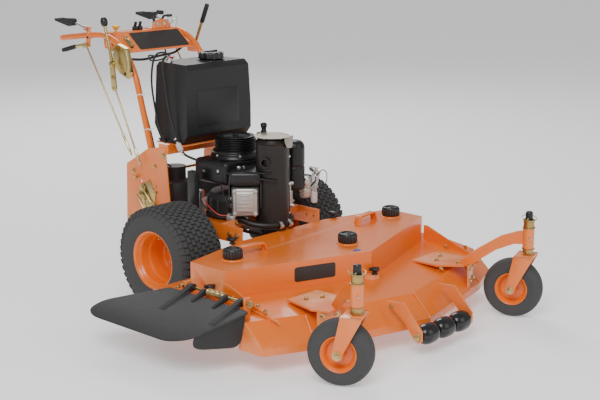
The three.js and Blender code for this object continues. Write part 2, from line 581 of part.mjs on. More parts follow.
function casterFork() {
  const inner = CASTER_TYRE_WIDTH / 2 + 7;
  const axle = [CASTER_TRAIL, CASTER_AXLE_Z];
  const legEdge = [[-26, FORK_PLATE_TOP], [axle[0] - 20, axle[1] + 4], [axle[0] - 8, axle[1] - 19],
      [axle[0] + 10, axle[1] - 19],
    [axle[0] + 20, axle[1] + 6], [46, FORK_PLATE_TOP]];
  const leg = plateYZ(outline(legEdge), 8, inner);
  const crown = box([2 * (inner + 8), 72, FORK_PLATE], [0, 10, FORK_PLATE_TOP - FORK_PLATE / 2]);
  const bush = CASTER_TUBE_RADIUS - 2;
  const post = turned([[0, FORK_PLATE_TOP - 4], [bush, FORK_PLATE_TOP - 4], [bush, CASTER_TUBE_BOTTOM - 2],
    [CASTER_POST_RADIUS, CASTER_TUBE_BOTTOM - 2], [CASTER_POST_RADIUS, CASTER_TUBE_TOP + 2],
    [bush, CASTER_TUBE_TOP + 2], [bush, CASTER_TUBE_TOP + 34],
    [CASTER_POST_RADIUS, CASTER_TUBE_TOP + 36], [CASTER_POST_RADIUS - 2, CASTER_POST_TOP],
        [0, CASTER_POST_TOP]], 20);
  const bolt = rod([-inner - 18, axle[0], axle[1]], [inner + 18, axle[0], axle[1]], CASTER_BOLT_RADIUS);
  return joined(leg, mirrored(leg), crown, post, bolt);
}

function buildCasters() {
  const arm = casterArm();
  add("caster_arm_left", arm, orange());
  add("caster_arm_right", mirrored(arm), orange());
  const fork = casterFork();
  const half = CASTER_TYRE_WIDTH / 2;
  const rimBore = CASTER_BOLT_RADIUS + 0.5;
  const edge = CASTER_RIM_RADIUS;
  const rim = turnedAlongX(ring(bothSides([
    [rimBore, half + 3], [23, half + 3], [25, 6], [edge - 10, 6], [edge - 6, half - 10], [edge, half - 8],
  ])));
  const crown = CASTER_TYRE_RADIUS;
  const tyre = turnedAlongX(ring(bothSides([
    [edge + GAP, half - 11], [edge + 16, half - 2], [crown - 22, half], [crown - 7, half - 12],
        [crown, half - 26],
  ])));
  for (const [side, sign] of [["left", 1], ["right", -1]]) {
    const swivel = new THREE.Group();
    swivel.position.set(sign * CASTER_X, CASTER_Y, 0);
    swivel.rotation.z = rad(CASTER_YAW[side]);
    add(`caster_fork_${side}`, fork.clone(), orange(), swivel);
    const wheel = new THREE.Group();
    wheel.position.set(0, CASTER_TRAIL, CASTER_AXLE_Z);
    add(`caster_rim_${side}`, rim.clone(), orange(), wheel);
    add(`caster_tyre_${side}`, tyre.clone(), blackRubber(), wheel);
    swivel.add(wheel);
    root.add(swivel);
  }
}

// ---------------------------------------------------------------- anti-scalp rollers
function rollerArm() {
  const tip = [ROLLER_Y, ROLLER_Z];
  const edge = [[-985, 196], [-1068, 204], [tip[0] - 20, tip[1] + 24], [tip[0] - 20, tip[1] - 16],
      [tip[0] - 4, tip[1] - 26],
    [tip[0] + 16, tip[1] - 16], [-1078, DECK_LIP_TOP + 14], [-1062, DECK_LIP_TOP + 26]];
  return plateYZ(outline(edge, [[tip[0], tip[1], ROLLER_AXLE_RADIUS + GAP]]), ROLLER_ARM_PLATE, ROLLER_ARM_X);
}

function buildRollers() {
  const arm = rollerArm();
  add("roller_arm_right", mirrored(arm), orange());
  const reach = ROLLER_ARM_X + ROLLER_ARM_PLATE;
  const bolt = rod([-reach - 12, ROLLER_Y, ROLLER_Z], [reach + 12, ROLLER_Y, ROLLER_Z], ROLLER_AXLE_RADIUS);
  add("roller_arm_left", joined(arm, bolt,
      rod([reach - 4, ROLLER_Y, ROLLER_Z], [reach + 10, ROLLER_Y, ROLLER_Z], 15)), orange());
  const half = ROLLER_LENGTH / 2;
  const bore = ROLLER_AXLE_RADIUS + 0.6;
  const profile = [[bore, half], [24, half], [34, half - 12], [ROLLER_RADIUS, half - 30]];
  const roller = turnedAlongX(ring(bothSides(profile)), 16);
  ["right", "middle", "left"].forEach((name, i) => {
    const mesh = add(`roller_${name}`, roller.clone(), blackPlastic());
    mesh.position.set((i - 1) * ROLLER_PITCH, ROLLER_Y, ROLLER_Z);
  });
}

// ---------------------------------------------------------------- engine
function buildEngine() {
  const seat = ENGINE_SEAT_Z;
  const sump = turned([[0, seat], [130, seat], [138, seat + 8], [138, seat + 92], [112, seat + 112],
      [0, seat + 112]], 16).translate(0, ENGINE_Y, 0);
  const cylinder = (heading) => new THREE.BoxGeometry(112, 150, 124)
    .translate(0, -150, seat + 108)
    .rotateZ(rad(heading))
    .translate(0, ENGINE_Y, 0);
  const shaftWell = rod([0, ENGINE_Y, seat - 20], [0, ENGINE_Y, seat + 40], 18, SMALL_ROUND);
  const starter = rod([-168, ENGINE_Y + 70, seat + 20], [-168, ENGINE_Y + 70, seat + 128], 30);
  const starterFoot = box([60, 50, 24], [-140, ENGINE_Y + 62, seat + 34]);
  const block = joined(sump, cylinder(-45), cylinder(45), starter, starterFoot);
  add("crankcase", cutFrom(block, shaftWell), castMetal());
  const base = seat + 174;
  const shroud = joined(
    new THREE.BoxGeometry(310, 190, 96).translate(0, ENGINE_Y + 10, base + 48),
    turned([[0, base + 80], [92, base + 80], [86, base + 160], [80, base + 186], [0, base + 186]],
        20).translate(0, ENGINE_Y + 8, 0),
  );
  add("blower_housing", shroud, blackPlastic());
  const [low, high] = [MUFFLER_Z.low, MUFFLER_Z.high];
  const radius = MUFFLER_RADIUS;
  const canister = turned([
    [0, low], [radius - 10, low], [radius, low + 10], [radius, high - 14], [radius - 8, high], [0, high],
  ], 20);
  const outlet = rod([-40, -195, 625], [-88, -231, 625], 20);
  add("muffler", joined(canister.translate(...MUFFLER, 0), outlet), blackPaint());
}

// ---------------------------------------------------------------- fuel tank
function buildTank() {
  const half = TANK_HALF_WIDTH;
  const side = [
    [TANK_FRONT_Y, TANK_BOTTOM_Z + 40], [TANK_FRONT_Y + 34, TANK_BOTTOM_Z], [TANK_REAR_Y - 60, TANK_BOTTOM_Z],
    [TANK_REAR_Y, TANK_BOTTOM_Z + 70], [TANK_REAR_Y, TANK_TOP_Z - TANK_EDGE],
    [TANK_REAR_Y - TANK_EDGE, TANK_TOP_Z], [TANK_FRONT_Y + TANK_EDGE, TANK_TOP_Z], [TANK_FRONT_Y, TANK_TOP_Z - TANK_EDGE],
  ];
  const block = plateYZ(outline(side), 2 * half, -half);
  const neckEdge = [[0, TANK_TOP_Z - 6], [40, TANK_TOP_Z - 6], [40, TANK_TOP_Z + 6], [0, TANK_TOP_Z + 6]];
  const neck = turned(neckEdge, 16).translate(...TANK_CAP, 0);
  // Each side leans inwards towards its upper front corner.
  const lean = (x) => new THREE.BoxGeometry(100, 420, 480)
    .translate(x * 50, 0, 0)
    .rotateY(x * rad(-4))
    .rotateZ(x * rad(6.5))
    .translate(x * (half - 14), TANK_FRONT_Y + 60, TANK_TOP_Z - 100);
  const slot = box([40, 40, 100], [-half, 269, TANK_TOP_Z - 45]);
  add("fuel_tank", cutFrom(joined(block, neck), lean(1), lean(-1), slot), blackPlastic());
  const cap = turned([
    [0, TANK_TOP_Z + 6.6], [TANK_CAP_RADIUS - 4, TANK_TOP_Z + 6.6], [TANK_CAP_RADIUS, TANK_TOP_Z + 12],
    [TANK_CAP_RADIUS, TANK_TOP_Z + 30], [TANK_CAP_RADIUS - 8, TANK_TOP_Z + 38], [0, TANK_TOP_Z + 40],
  ], 20);
  add("fuel_cap", cap.translate(...TANK_CAP, 0), blackPlastic());
}

function buildFuelHose() {
  const beside = -TANK_HALF_WIDTH - 11;
  const route = [[-160, 280, TANK_TOP_Z + 1], [-162, 282, 1038], [-186, 278, 1046], [beside, 270, 1022],
      [beside, 262, 960], [beside, 240, 840],
    [beside, 208, 740], [beside, 176, 668], [-196, 150, 630], [-176, 120, 612], [-164, 96, 606]];
  add("fuel_hose", bar(route, 5.5, 32, 8), blackRubber());
}

// ---------------------------------------------------------------- handlebars and controls
function handlebar() {
  const route = [
    [280, 430], [340, 590], [412, 830], [448, 945], [500, 1030], [580, 1092], [660, 1116], [760, 1112],
        [860, 1100], [985, 1084],
  ];
  const tube = bar(route.map(([y, z]) => [HANDLE_X, y, z]), HANDLE_TUBE_RADIUS, 28, 8);
  const pins = Object.values(GRIP_PIVOT).map(([y, z]) => {
    const stalk = box([10, 22, Math.abs(z - 1112) + 10], [HANDLE_X + 8, y, (z + 1112) / 2]);
    return joined(stalk, rod([HANDLE_X + 4, y, z], [LEVER_X + 12, y, z], LEVER_PIN_RADIUS));
  });
  return joined(tube, ...pins);
}

function leverHub(y, z, width = 12) {
  return rod([LEVER_X - width / 2, y, z], [LEVER_X + width / 2, y, z], 13);
}

function pinBore(y, z) {
  return rod([LEVER_X - 40, y, z], [LEVER_X + 60, y, z], LEVER_BORE);
}

function presenceLever() {
  const [y, z] = GRIP_PIVOT.presence;
  const arm = bar([[LEVER_X, y, z], [LEVER_X, y + 50, z + 14], [LEVER_X, y + 95, z + 22]], 5, 6, 8);
  const paddle = plateYZ(outline(
      [[y + 80, z + 8], [y + 112, z + 2], [y + 218, z + 22], [y + 218, z + 34], [y + 84, z + 38]]), 30,
      LEVER_X - 15);
  return cutFrom(joined(leverHub(y, z), arm, paddle), pinBore(y, z));
}

function driveLever() {
  const [y, z] = GRIP_PIVOT.drive;
  const shank = bar([[LEVER_X, y, z], [LEVER_X, y + 60, z - 8], [LEVER_X, y + 165, z - 34]], 8, 6, 8);
  const crank = box([8, 44, 16], [LEVER_X, y - 18, z + 1]);
  const eyePin = rod([LEVER_X, ...ROD_PIN], [ROD_X + 8, ...ROD_PIN], ROD_PIN_RADIUS);
  return cutFrom(joined(leverHub(y, z), shank, crank, eyePin), pinBore(y, z));
}

function controlRod() {
  const [y, z] = ROD_PIN;
  const eye = turnedAlongX(ring([[ROD_PIN_RADIUS + 0.5, -4], [9, -4], [9, 4], [ROD_PIN_RADIUS + 0.5, 4]]),
      SMALL_ROUND).translate(ROD_X, y, z);
  const start = [ROD_X, y - 4.5, z - 6.5];
  const shank = rod(start, [ROD_X, 440, 596], 4, 8);
  return joined(eye, shank);
}

function buildControls() {
  const right = (geometry) => mirrored(geometry);
  const left = (geometry) => geometry.clone();
  const bars = handlebar();
  add("handlebar_right", mirrored(bars), orange());
  add("handlebar_left", joined(bars, ...brakeMount()), orange());
  for (const [side, place] of [["right", right], ["left", left]]) {
    add(`presence_lever_${side}`, place(presenceLever()), blackPlastic());
    add(`drive_lever_${side}`, place(driveLever()), blackPlastic());
    add(`control_rod_${side}`, place(controlRod()), zinc());
  }
  buildConsole();
  buildSpeedControl();
  buildBrakeLever();
}

function buildConsole() {
  const panelSide = [[524, 1046], [536, 1038], [690, 1056], [700, CONSOLE_TOP_Z], [628, CONSOLE_TOP_Z]];
  const outer = plateYZ(outline(panelSide), 2 * CONSOLE_HALF_WIDTH, -CONSOLE_HALF_WIDTH);
  const under = CONSOLE_TOP_Z - CONSOLE_WALL;
  const innerSide = [[500, 1000], [740, 1000], [740, under], [629.4, under], [500, 1021.5]];
  const innerHalf = CONSOLE_HALF_WIDTH - CONSOLE_WALL;
  const inner = plateYZ(outline(innerSide), 2 * innerHalf, -innerHalf);
  const knobHole = rod([CHOKE[0], CHOKE[1], 1000], [CHOKE[0], CHOKE[1], 1200], 6.5);
  const ear = box([12, 40, 30], [CONSOLE_HALF_WIDTH + 3, 650, 1080]);
  add("console", cutFrom(joined(outer, ear, mirrored(ear)), inner, knobHole), orange());
  const knob = turned([[0, 1104], [6, 1104], [6, 1136], [11, 1138], [18, 1152], [17, 1158], [0, 1160]], 16);
  add("pto_knob", knob.translate(CHOKE[0], CHOKE[1], 0), yellowPlastic());
}

function buildSpeedControl() {
  const [py, pz] = SPEED_PIVOT;
  const plate = plateYZ(outline([[430, 968], [460, 934], [530, 960], [578, 1000], [570, 1050], [508, 1090],
      [454, 1072]]), 4, LEVER_X - 4);
  const spacer = rod([HANDLE_X + HANDLE_TUBE_RADIUS + 0.5, 492, 1014], [LEVER_X - 2, 492, 1014], 9);
  const pivotPin = rod([LEVER_X - 3, py, pz], [SPEED_X + 12, py, pz], LEVER_PIN_RADIUS);
  add("speed_quadrant", mirrored(joined(plate, spacer, pivotPin)), zinc());
  const shaft = joined(
    rod([SPEED_X, py, pz], [SPEED_X, py + 46, pz + 178], 7, 8),
    box([7, 34, 130], [SPEED_X, py - 12, pz - 56]),
    rod([SPEED_X - 6, py, pz], [SPEED_X + 6, py, pz], 15),
    rod([SPEED_X, py + 44, pz + 170], [SPEED_X, py + 54, pz + 208], 16),
  );
  add("speed_lever", mirrored(cutFrom(shaft, pinBore(py, pz))), zinc());
}

function brakeMount() {
  const [y, z] = BRAKE_PIVOT;
  const bracket = box([8, 40, 56], [HANDLE_X + 14, y, z + 10]);
  return [bracket, rod([HANDLE_X + 8, y, z], [LEVER_X + 12, y, z], LEVER_PIN_RADIUS)];
}

function buildBrakeLever() {
  const [y, z] = BRAKE_PIVOT;
  const lever = joined(rod([LEVER_X, y, z], [LEVER_X, y - 92, z + 198], 8, 10), leverHub(y, z, 10));
  add("brake_lever", cutFrom(lever, pinBore(y, z)), zinc());
}

// ---------------------------------------------------------------- assembly
buildChassis();
buildDriveWheels();
buildDeck();
buildCover();
buildCutters();
buildChute();
buildCasters();
buildRollers();
buildEngine();
buildTank();
buildFuelHose();
buildControls();

const whole = new THREE.Box3().setFromObject(root);
const middle = whole.getCenter(new THREE.Vector3());
root.position.set(-middle.x, -middle.y, -whole.min.z);

export default root;
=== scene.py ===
"""Looks of a walk-behind wide-cut mower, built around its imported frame.

Sizes are millimetres of the design frame: origin on the ground below the middle of the machine between its
handles and casters, front towards -Y, the machine's left towards +X. Each finished mesh is placed in metres.
"""

import sys

import logging
import math
from dataclasses import dataclass, field
from enum import Enum
from typing import Callable, Iterable, Optional, Sequence

import bmesh
import bpy
from mathutils import Matrix, Vector


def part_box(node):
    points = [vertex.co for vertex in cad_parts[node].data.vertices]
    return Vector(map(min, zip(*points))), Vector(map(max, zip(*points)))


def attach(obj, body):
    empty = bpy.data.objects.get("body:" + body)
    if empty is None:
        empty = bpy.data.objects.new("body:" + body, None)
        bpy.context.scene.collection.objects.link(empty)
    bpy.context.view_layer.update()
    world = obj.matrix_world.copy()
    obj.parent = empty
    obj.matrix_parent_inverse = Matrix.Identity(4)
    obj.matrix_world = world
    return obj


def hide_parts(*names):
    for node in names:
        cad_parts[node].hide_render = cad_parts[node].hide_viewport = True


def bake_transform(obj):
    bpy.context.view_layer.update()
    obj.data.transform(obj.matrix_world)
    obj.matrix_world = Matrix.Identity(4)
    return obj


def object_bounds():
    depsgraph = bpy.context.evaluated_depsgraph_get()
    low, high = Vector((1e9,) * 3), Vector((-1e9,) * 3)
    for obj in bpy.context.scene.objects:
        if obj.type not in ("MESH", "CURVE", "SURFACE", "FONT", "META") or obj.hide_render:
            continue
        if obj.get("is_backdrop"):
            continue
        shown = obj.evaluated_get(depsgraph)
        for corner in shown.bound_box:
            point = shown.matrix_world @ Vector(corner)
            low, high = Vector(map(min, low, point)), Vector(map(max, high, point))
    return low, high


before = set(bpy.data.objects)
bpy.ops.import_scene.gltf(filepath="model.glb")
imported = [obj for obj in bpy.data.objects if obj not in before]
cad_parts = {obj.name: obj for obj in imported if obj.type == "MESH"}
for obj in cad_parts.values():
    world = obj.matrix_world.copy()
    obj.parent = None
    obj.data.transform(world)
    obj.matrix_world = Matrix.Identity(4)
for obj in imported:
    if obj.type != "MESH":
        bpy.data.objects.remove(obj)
BEFORE = [[float(v) for v in corner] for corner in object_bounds()]
log = logging.getLogger("mower")
Point = tuple[float, float, float]
Pair = tuple[float, float]
SIDES = (("right", -1), ("left", 1))


# ------------------------------------------------------------------ finishes
class Pattern(Enum):
    """How the fine relief of a surface is made."""

    GRAIN = "grain"
    PEBBLE = "pebble"
    BRUSHED = "brushed"


def node(tree: bpy.types.NodeTree, kind: str, **values: object) -> bpy.types.Node:
    """Adds a shader node and sets its inputs and properties.

    Args:
        tree: node tree that the node goes in.
        kind: node type without its ShaderNode prefix.
        values: input sockets by name with underscores for spaces, or node properties.

    Returns:
        The new node.
    """
    made = tree.nodes.new("ShaderNode" + kind)
    for key, value in values.items():
        socket = made.inputs.get(key.replace("_", " "))
        if socket is None:
            setattr(made, key, value)
        else:
            socket.default_value = value
    return made


def new_group(name: str, inputs: Sequence[tuple[str, str]], outputs: Sequence[tuple[str, str]]) -> tuple:
    """Makes an empty shader node group.

    Args:
        name: the group's name.
        inputs: names and socket kinds that go in.
        outputs: names and socket kinds that come out.

    Returns:
        The tree, its input node and its output node.
    """
    tree = bpy.data.node_groups.new(name, "ShaderNodeTree")
    for label, kind in inputs:
        tree.interface.new_socket(label, in_out="INPUT", socket_type="NodeSocket" + kind)
    for label, kind in outputs:
        tree.interface.new_socket(label, in_out="OUTPUT", socket_type="NodeSocket" + kind)
    return tree, tree.nodes.new("NodeGroupInput"), tree.nodes.new("NodeGroupOutput")


def mottle_group() -> bpy.types.NodeTree:
    """Builds or returns the group that varies a surface's colour and gloss.

    Returns:
        The node group, with colour, roughness and blotch mask.
    """
    if "mottle" in bpy.data.node_groups:
        return bpy.data.node_groups["mottle"]
    tree, given, out = new_group(
        "mottle",
        [("Vector", "Vector"), ("Base", "Color"), ("Shade", "Color"), ("Scale", "Float"), ("Amount", "Float"),
         ("Roughness", "Float"), ("Swing", "Float")],
        [("Color", "Color"), ("Roughness", "Float"), ("Mask", "Float")])
    link = tree.links.new
    broad = node(tree, "TexNoise", Detail=5.0, Roughness=0.6)
    fine = node(tree, "TexNoise", Detail=3.0, Roughness=0.55)
    ten = node(tree, "Math", operation="MULTIPLY")
    ten.inputs[1].default_value = 9.0
    link(given.outputs["Scale"], ten.inputs[0])
    link(given.outputs["Scale"], broad.inputs["Scale"])
    link(ten.outputs[0], fine.inputs["Scale"])
    for tex in (broad, fine):
        link(given.outputs["Vector"], tex.inputs["Vector"])
    spread = node(tree, "MapRange")
    spread.inputs["From Min"].default_value = 0.35
    spread.inputs["From Max"].default_value = 0.68
    link(broad.outputs["Fac"], spread.inputs["Value"])
    strength = node(tree, "Math", operation="MULTIPLY")
    link(spread.outputs["Result"], strength.inputs[0])
    link(given.outputs["Amount"], strength.inputs[1])
    mix = node(tree, "Mix", data_type="RGBA")
    link(strength.outputs[0], mix.inputs["Factor"])
    link(given.outputs["Base"], mix.inputs[6])
    link(given.outputs["Shade"], mix.inputs[7])
    centred = node(tree, "Math", operation="SUBTRACT")
    centred.inputs[1].default_value = 0.5
    link(fine.outputs["Fac"], centred.inputs[0])
    swing = node(tree, "Math", operation="MULTIPLY_ADD")
    link(centred.outputs[0], swing.inputs[0])
    link(given.outputs["Swing"], swing.inputs[1])
    link(given.outputs["Roughness"], swing.inputs[2])
    link(mix.outputs[2], out.inputs["Color"])
    link(swing.outputs[0], out.inputs["Roughness"])
    link(spread.outputs["Result"], out.inputs["Mask"])
    return tree


def edge_wear_and_highlight_group() -> bpy.types.NodeTree:
    """Builds or returns the group that lightens edges: real wear, and on the orange paint a painted
    highlight.

    Returns:
        The node group, with the wear and painted-highlight colour and its mask.
    """
    if "edge_wear_and_highlight" in bpy.data.node_groups:
        return bpy.data.node_groups["edge_wear_and_highlight"]
    tree, given, out = new_group(
        "edge_wear_and_highlight",
        [("Vector", "Vector"), ("Color", "Color"), ("Wear And Highlight", "Color"), ("Amount", "Float")],
        [("Color", "Color"), ("Mask", "Float")])
    link = tree.links.new
    # Convex edges found by pointiness are lightened: real wear on most finishes, a painted edge highlight on
    # the orange paint.
    shape = tree.nodes.new("ShaderNodeNewGeometry")
    rim = node(tree, "MapRange")
    rim.inputs["From Min"].default_value = 0.53
    rim.inputs["From Max"].default_value = 0.62
    link(shape.outputs["Pointiness"], rim.inputs["Value"])
    broken = node(tree, "TexNoise", Scale=22.0, Detail=6.0, Roughness=0.7)
    link(given.outputs["Vector"], broken.inputs["Vector"])
    both = node(tree, "Math", operation="MULTIPLY")
    link(rim.outputs["Result"], both.inputs[0])
    link(broken.outputs["Fac"], both.inputs[1])
    amount = node(tree, "Math", operation="MULTIPLY", use_clamp=True)
    link(both.outputs[0], amount.inputs[0])
    link(given.outputs["Amount"], amount.inputs[1])
    mix = node(tree, "Mix", data_type="RGBA")
    link(amount.outputs[0], mix.inputs["Factor"])
    link(given.outputs["Color"], mix.inputs[6])
    link(given.outputs["Wear And Highlight"], mix.inputs[7])
    link(mix.outputs[2], out.inputs["Color"])
    link(amount.outputs[0], out.inputs["Mask"])
    return tree


def relief_group(pattern: Pattern) -> bpy.types.NodeTree:
    """Builds or returns the group that gives a pattern's height.

    Args:
        pattern: which fine relief the group makes.

    Returns:
        The node group, with one height from 0 to 1.
    """
    name = "relief_" + pattern.value
    if name in bpy.data.node_groups:
        return bpy.data.node_groups[name]
    tree, given, out = new_group(name, [("Vector", "Vector"), ("Scale", "Float")], [("Height", "Float")])
    link = tree.links.new
    source = given.outputs["Vector"]
    if pattern is Pattern.BRUSHED:
        stretch = node(tree, "Mapping")
        stretch.inputs["Scale"].default_value = (1.0, 1.0, 0.06)
        link(source, stretch.inputs["Vector"])
        source = stretch.outputs["Vector"]
    if pattern is Pattern.PEBBLE:
        tex = node(tree, "TexVoronoi", feature="SMOOTH_F1")
        tex.inputs["Smoothness"].default_value = 0.7
        result = tex.outputs["Distance"]
    else:
        tex = node(tree, "TexNoise", Detail=4.0, Roughness=0.62)
        result = tex.outputs["Fac"]
    link(source, tex.inputs["Vector"])
    link(given.outputs["Scale"], tex.inputs["Scale"])
    link(result, out.inputs["Height"])
    return tree


@dataclass(frozen=True)
class Finish:
    """One procedural finish: its colours, gloss, relief and lightened edges (wear, and a painted highlight on
    the orange paint).
    """

    name: str
    slot: str
    base: Point
    shade: Point
    roughness: float
    metallic: float = 0.0
    coat: float = 0.0
    swing: float = 0.12
    blotch: float = 5.0
    amount: float = 0.5
    pattern: Pattern = Pattern.GRAIN
    grain: float = 500.0
    depth_mm: float = 0.12
    # Edge colour and its strength: worn edges, and on the orange paint a painted edge highlight.
    wear_and_highlight_color: Point = (0.9, 0.9, 0.9)
    wear_and_highlight_amount: float = 0.0

    def material(self) -> bpy.types.Material:
        """Builds the finish's material once.

        Returns:
            The material.
        """
        if self.name in bpy.data.materials:
            return bpy.data.materials[self.name]
        made = bpy.data.materials.new(self.name)
        made.use_nodes = True
        tree = made.node_tree
        tree.nodes.clear()
        link = tree.links.new
        coords = node(tree, "TexCoord")
        vector = coords.outputs["Object"]
        mottle = tree.nodes.new("ShaderNodeGroup")
        mottle.node_tree = mottle_group()
        for key, value in (("Base", (*self.base, 1.0)), ("Shade", (*self.shade, 1.0)), ("Scale", self.blotch),
                           ("Amount", self.amount), ("Roughness", self.roughness), ("Swing", self.swing)):
            mottle.inputs[key].default_value = value
        link(vector, mottle.inputs["Vector"])
        # Lightened edges: wear, and a painted highlight on the orange paint.
        edges = tree.nodes.new("ShaderNodeGroup")
        edges.node_tree = edge_wear_and_highlight_group()
        edges.inputs["Wear And Highlight"].default_value = (*self.wear_and_highlight_color, 1.0)
        edges.inputs["Amount"].default_value = self.wear_and_highlight_amount
        link(vector, edges.inputs["Vector"])
        link(mottle.outputs["Color"], edges.inputs["Color"])
        relief = tree.nodes.new("ShaderNodeGroup")
        relief.node_tree = relief_group(self.pattern)
        relief.inputs["Scale"].default_value = self.grain
        link(vector, relief.inputs["Vector"])
        bump = node(tree, "Bump", Strength=0.6, Distance=self.depth_mm / 1000)
        link(relief.outputs["Height"], bump.inputs["Height"])
        shader = node(tree, "BsdfPrincipled", Metallic=self.metallic, Coat_Weight=self.coat)
        shader.inputs["Coat Roughness"].default_value = 0.12
        link(edges.outputs["Color"], shader.inputs["Base Color"])
        link(mottle.outputs["Roughness"], shader.inputs["Roughness"])
        link(bump.outputs["Normal"], shader.inputs["Normal"])
        out = node(tree, "OutputMaterial")
        link(shader.outputs[0], out.inputs["Surface"])
        return made


# The pale orange edge colour is a painted highlight on the rounded edges, standing in for their reflections.
ORANGE = Finish("orange_powder_coat", "orange_paint", (0.84, 0.165, 0.004), (0.78, 0.145, 0.003), 0.34,
                coat=0.3, blotch=3.0, amount=0.6, pattern=Pattern.PEBBLE, grain=420.0, depth_mm=0.05,
                wear_and_highlight_color=(1.0, 0.5, 0.25), wear_and_highlight_amount=1.2)
TANK_PLASTIC = Finish("rotomoulded_plastic", "moulded_plastic", (0.0054, 0.00585, 0.0072),
                      (0.009, 0.00945, 0.01125), 0.48, blotch=6.0, pattern=Pattern.PEBBLE, grain=650.0,
                      depth_mm=0.12, wear_and_highlight_color=(0.06, 0.06, 0.07), wear_and_highlight_amount=0.8)
CHUTE_PLASTIC = Finish("chute_plastic", "moulded_plastic", (0.013, 0.013, 0.014), (0.018, 0.018, 0.019), 0.55,
                       blotch=7.0, grain=900.0, depth_mm=0.16, wear_and_highlight_color=(0.1, 0.1, 0.1), wear_and_highlight_amount=0.9)
PLASTIC = Finish("satin_black_plastic", "black_plastic", (0.0072, 0.0072, 0.0078), (0.012, 0.012, 0.0126),
                 0.38, grain=800.0, depth_mm=0.08, wear_and_highlight_color=(0.08, 0.08, 0.08), wear_and_highlight_amount=0.7)
GRIP = Finish("grip_rubber", "black_plastic", (0.014, 0.014, 0.014), (0.022, 0.022, 0.022), 0.72,
              pattern=Pattern.PEBBLE, grain=500.0, depth_mm=0.3)
TYRE = Finish("tyre_rubber", "tyre_rubber", (0.0108, 0.0108, 0.0114), (0.0192, 0.0186, 0.018), 0.66,
              swing=0.2, blotch=9.0, amount=0.7, grain=700.0, depth_mm=0.2, wear_and_highlight_color=(0.09, 0.088, 0.085),
              wear_and_highlight_amount=1.0)
RUBBER = Finish("hose_rubber", "black_rubber", (0.0078, 0.0078, 0.0084), (0.0132, 0.0132, 0.0132), 0.6,
                grain=900.0)
STEEL = Finish("ground_steel", "bare_steel", (0.45, 0.45, 0.44), (0.3, 0.3, 0.29), 0.34, metallic=1.0,
               pattern=Pattern.BRUSHED, grain=380.0, wear_and_highlight_color=(0.8, 0.8, 0.8), wear_and_highlight_amount=0.6)
CAST = Finish("dark_cast_metal", "cast_metal", (0.026, 0.026, 0.027), (0.05, 0.048, 0.045), 0.55,
              metallic=0.4, pattern=Pattern.PEBBLE, grain=380.0, depth_mm=0.35, wear_and_highlight_color=(0.2, 0.2, 0.19),
              wear_and_highlight_amount=0.9)
ALLOY = Finish("cast_aluminium", "cast_aluminium", (0.56, 0.54, 0.5), (0.4, 0.38, 0.35), 0.42, metallic=0.85,
               pattern=Pattern.PEBBLE, grain=600.0, depth_mm=0.2, wear_and_highlight_color=(0.85, 0.85, 0.83), wear_and_highlight_amount=0.8)
SHIELD = Finish("heat_shield_steel", "cast_aluminium", (0.34, 0.3, 0.24), (0.26, 0.225, 0.175), 0.4,
                metallic=0.8, pattern=Pattern.BRUSHED, grain=300.0, wear_and_highlight_color=(0.8, 0.78, 0.74), wear_and_highlight_amount=0.8)
HOT_BLACK = Finish("heat_resistant_black", "black_paint", (0.0156, 0.0132, 0.012), (0.0228, 0.018, 0.0156),
                   0.42, metallic=0.3, blotch=8.0, grain=600.0, depth_mm=0.1, wear_and_highlight_color=(0.12, 0.1, 0.09),
                   wear_and_highlight_amount=0.8)
ENGINE_BLACK = Finish("satin_engine_black", "black_paint", (0.0072, 0.0072, 0.0078),
                      (0.0144, 0.0144, 0.015), 0.36, metallic=0.2, grain=700.0, depth_mm=0.1,
                      wear_and_highlight_color=(0.12, 0.12, 0.12), wear_and_highlight_amount=0.9)
ZINC = Finish("yellow_zinc_plate", "zinc_plate", (0.62, 0.44, 0.16), (0.42, 0.36, 0.16), 0.3, metallic=1.0,
              blotch=26.0, amount=0.9, pattern=Pattern.BRUSHED, grain=420.0, depth_mm=0.05,
              wear_and_highlight_color=(0.9, 0.82, 0.6), wear_and_highlight_amount=0.6)
BRIGHT = Finish("bright_zinc", "bare_steel", (0.72, 0.71, 0.68), (0.5, 0.5, 0.48), 0.26, metallic=1.0,
                blotch=30.0, grain=500.0, depth_mm=0.05)
BRONZE = Finish("oiled_bronze_bush", "zinc_plate", (0.5, 0.33, 0.12), (0.34, 0.22, 0.08), 0.34, metallic=1.0,
                blotch=20.0, pattern=Pattern.BRUSHED, grain=300.0)
YELLOW = Finish("yellow_moulding", "yellow_plastic", (0.85, 0.5, 0.03), (0.75, 0.42, 0.02), 0.35,
                grain=700.0, depth_mm=0.05)
PLATE_BLACK = Finish("black_film_plate", "black_paint", (0.016, 0.012, 0.011), (0.028, 0.018, 0.015), 0.3,
                     blotch=10.0, grain=900.0, depth_mm=0.03)
RED = Finish("red_moulding", "orange_paint", (0.5, 0.02, 0.015), (0.4, 0.02, 0.015), 0.4, grain=700.0)
BLUE = Finish("blue_film_plate", "black_paint", (0.02, 0.06, 0.28), (0.03, 0.08, 0.33), 0.3, grain=900.0,
              depth_mm=0.03)
ROLLER_BLACK = Finish("gloss_black_roller", "black_plastic", (0.008, 0.008, 0.009), (0.014, 0.014, 0.015),
                      0.22, grain=700.0, depth_mm=0.05)
COPPER = Finish("copper_brown_knuckle", "zinc_plate", (0.3, 0.13, 0.06), (0.2, 0.09, 0.04), 0.42,
                metallic=0.7, blotch=14.0, grain=500.0)
CLEAR = Finish("frosted_filter_bowl", "bare_steel", (0.62, 0.55, 0.52), (0.45, 0.22, 0.18), 0.25,
               blotch=40.0, grain=500.0)
TIE = Finish("nylon_tie", "bare_steel", (0.8, 0.79, 0.75), (0.7, 0.69, 0.65), 0.5, grain=700.0)


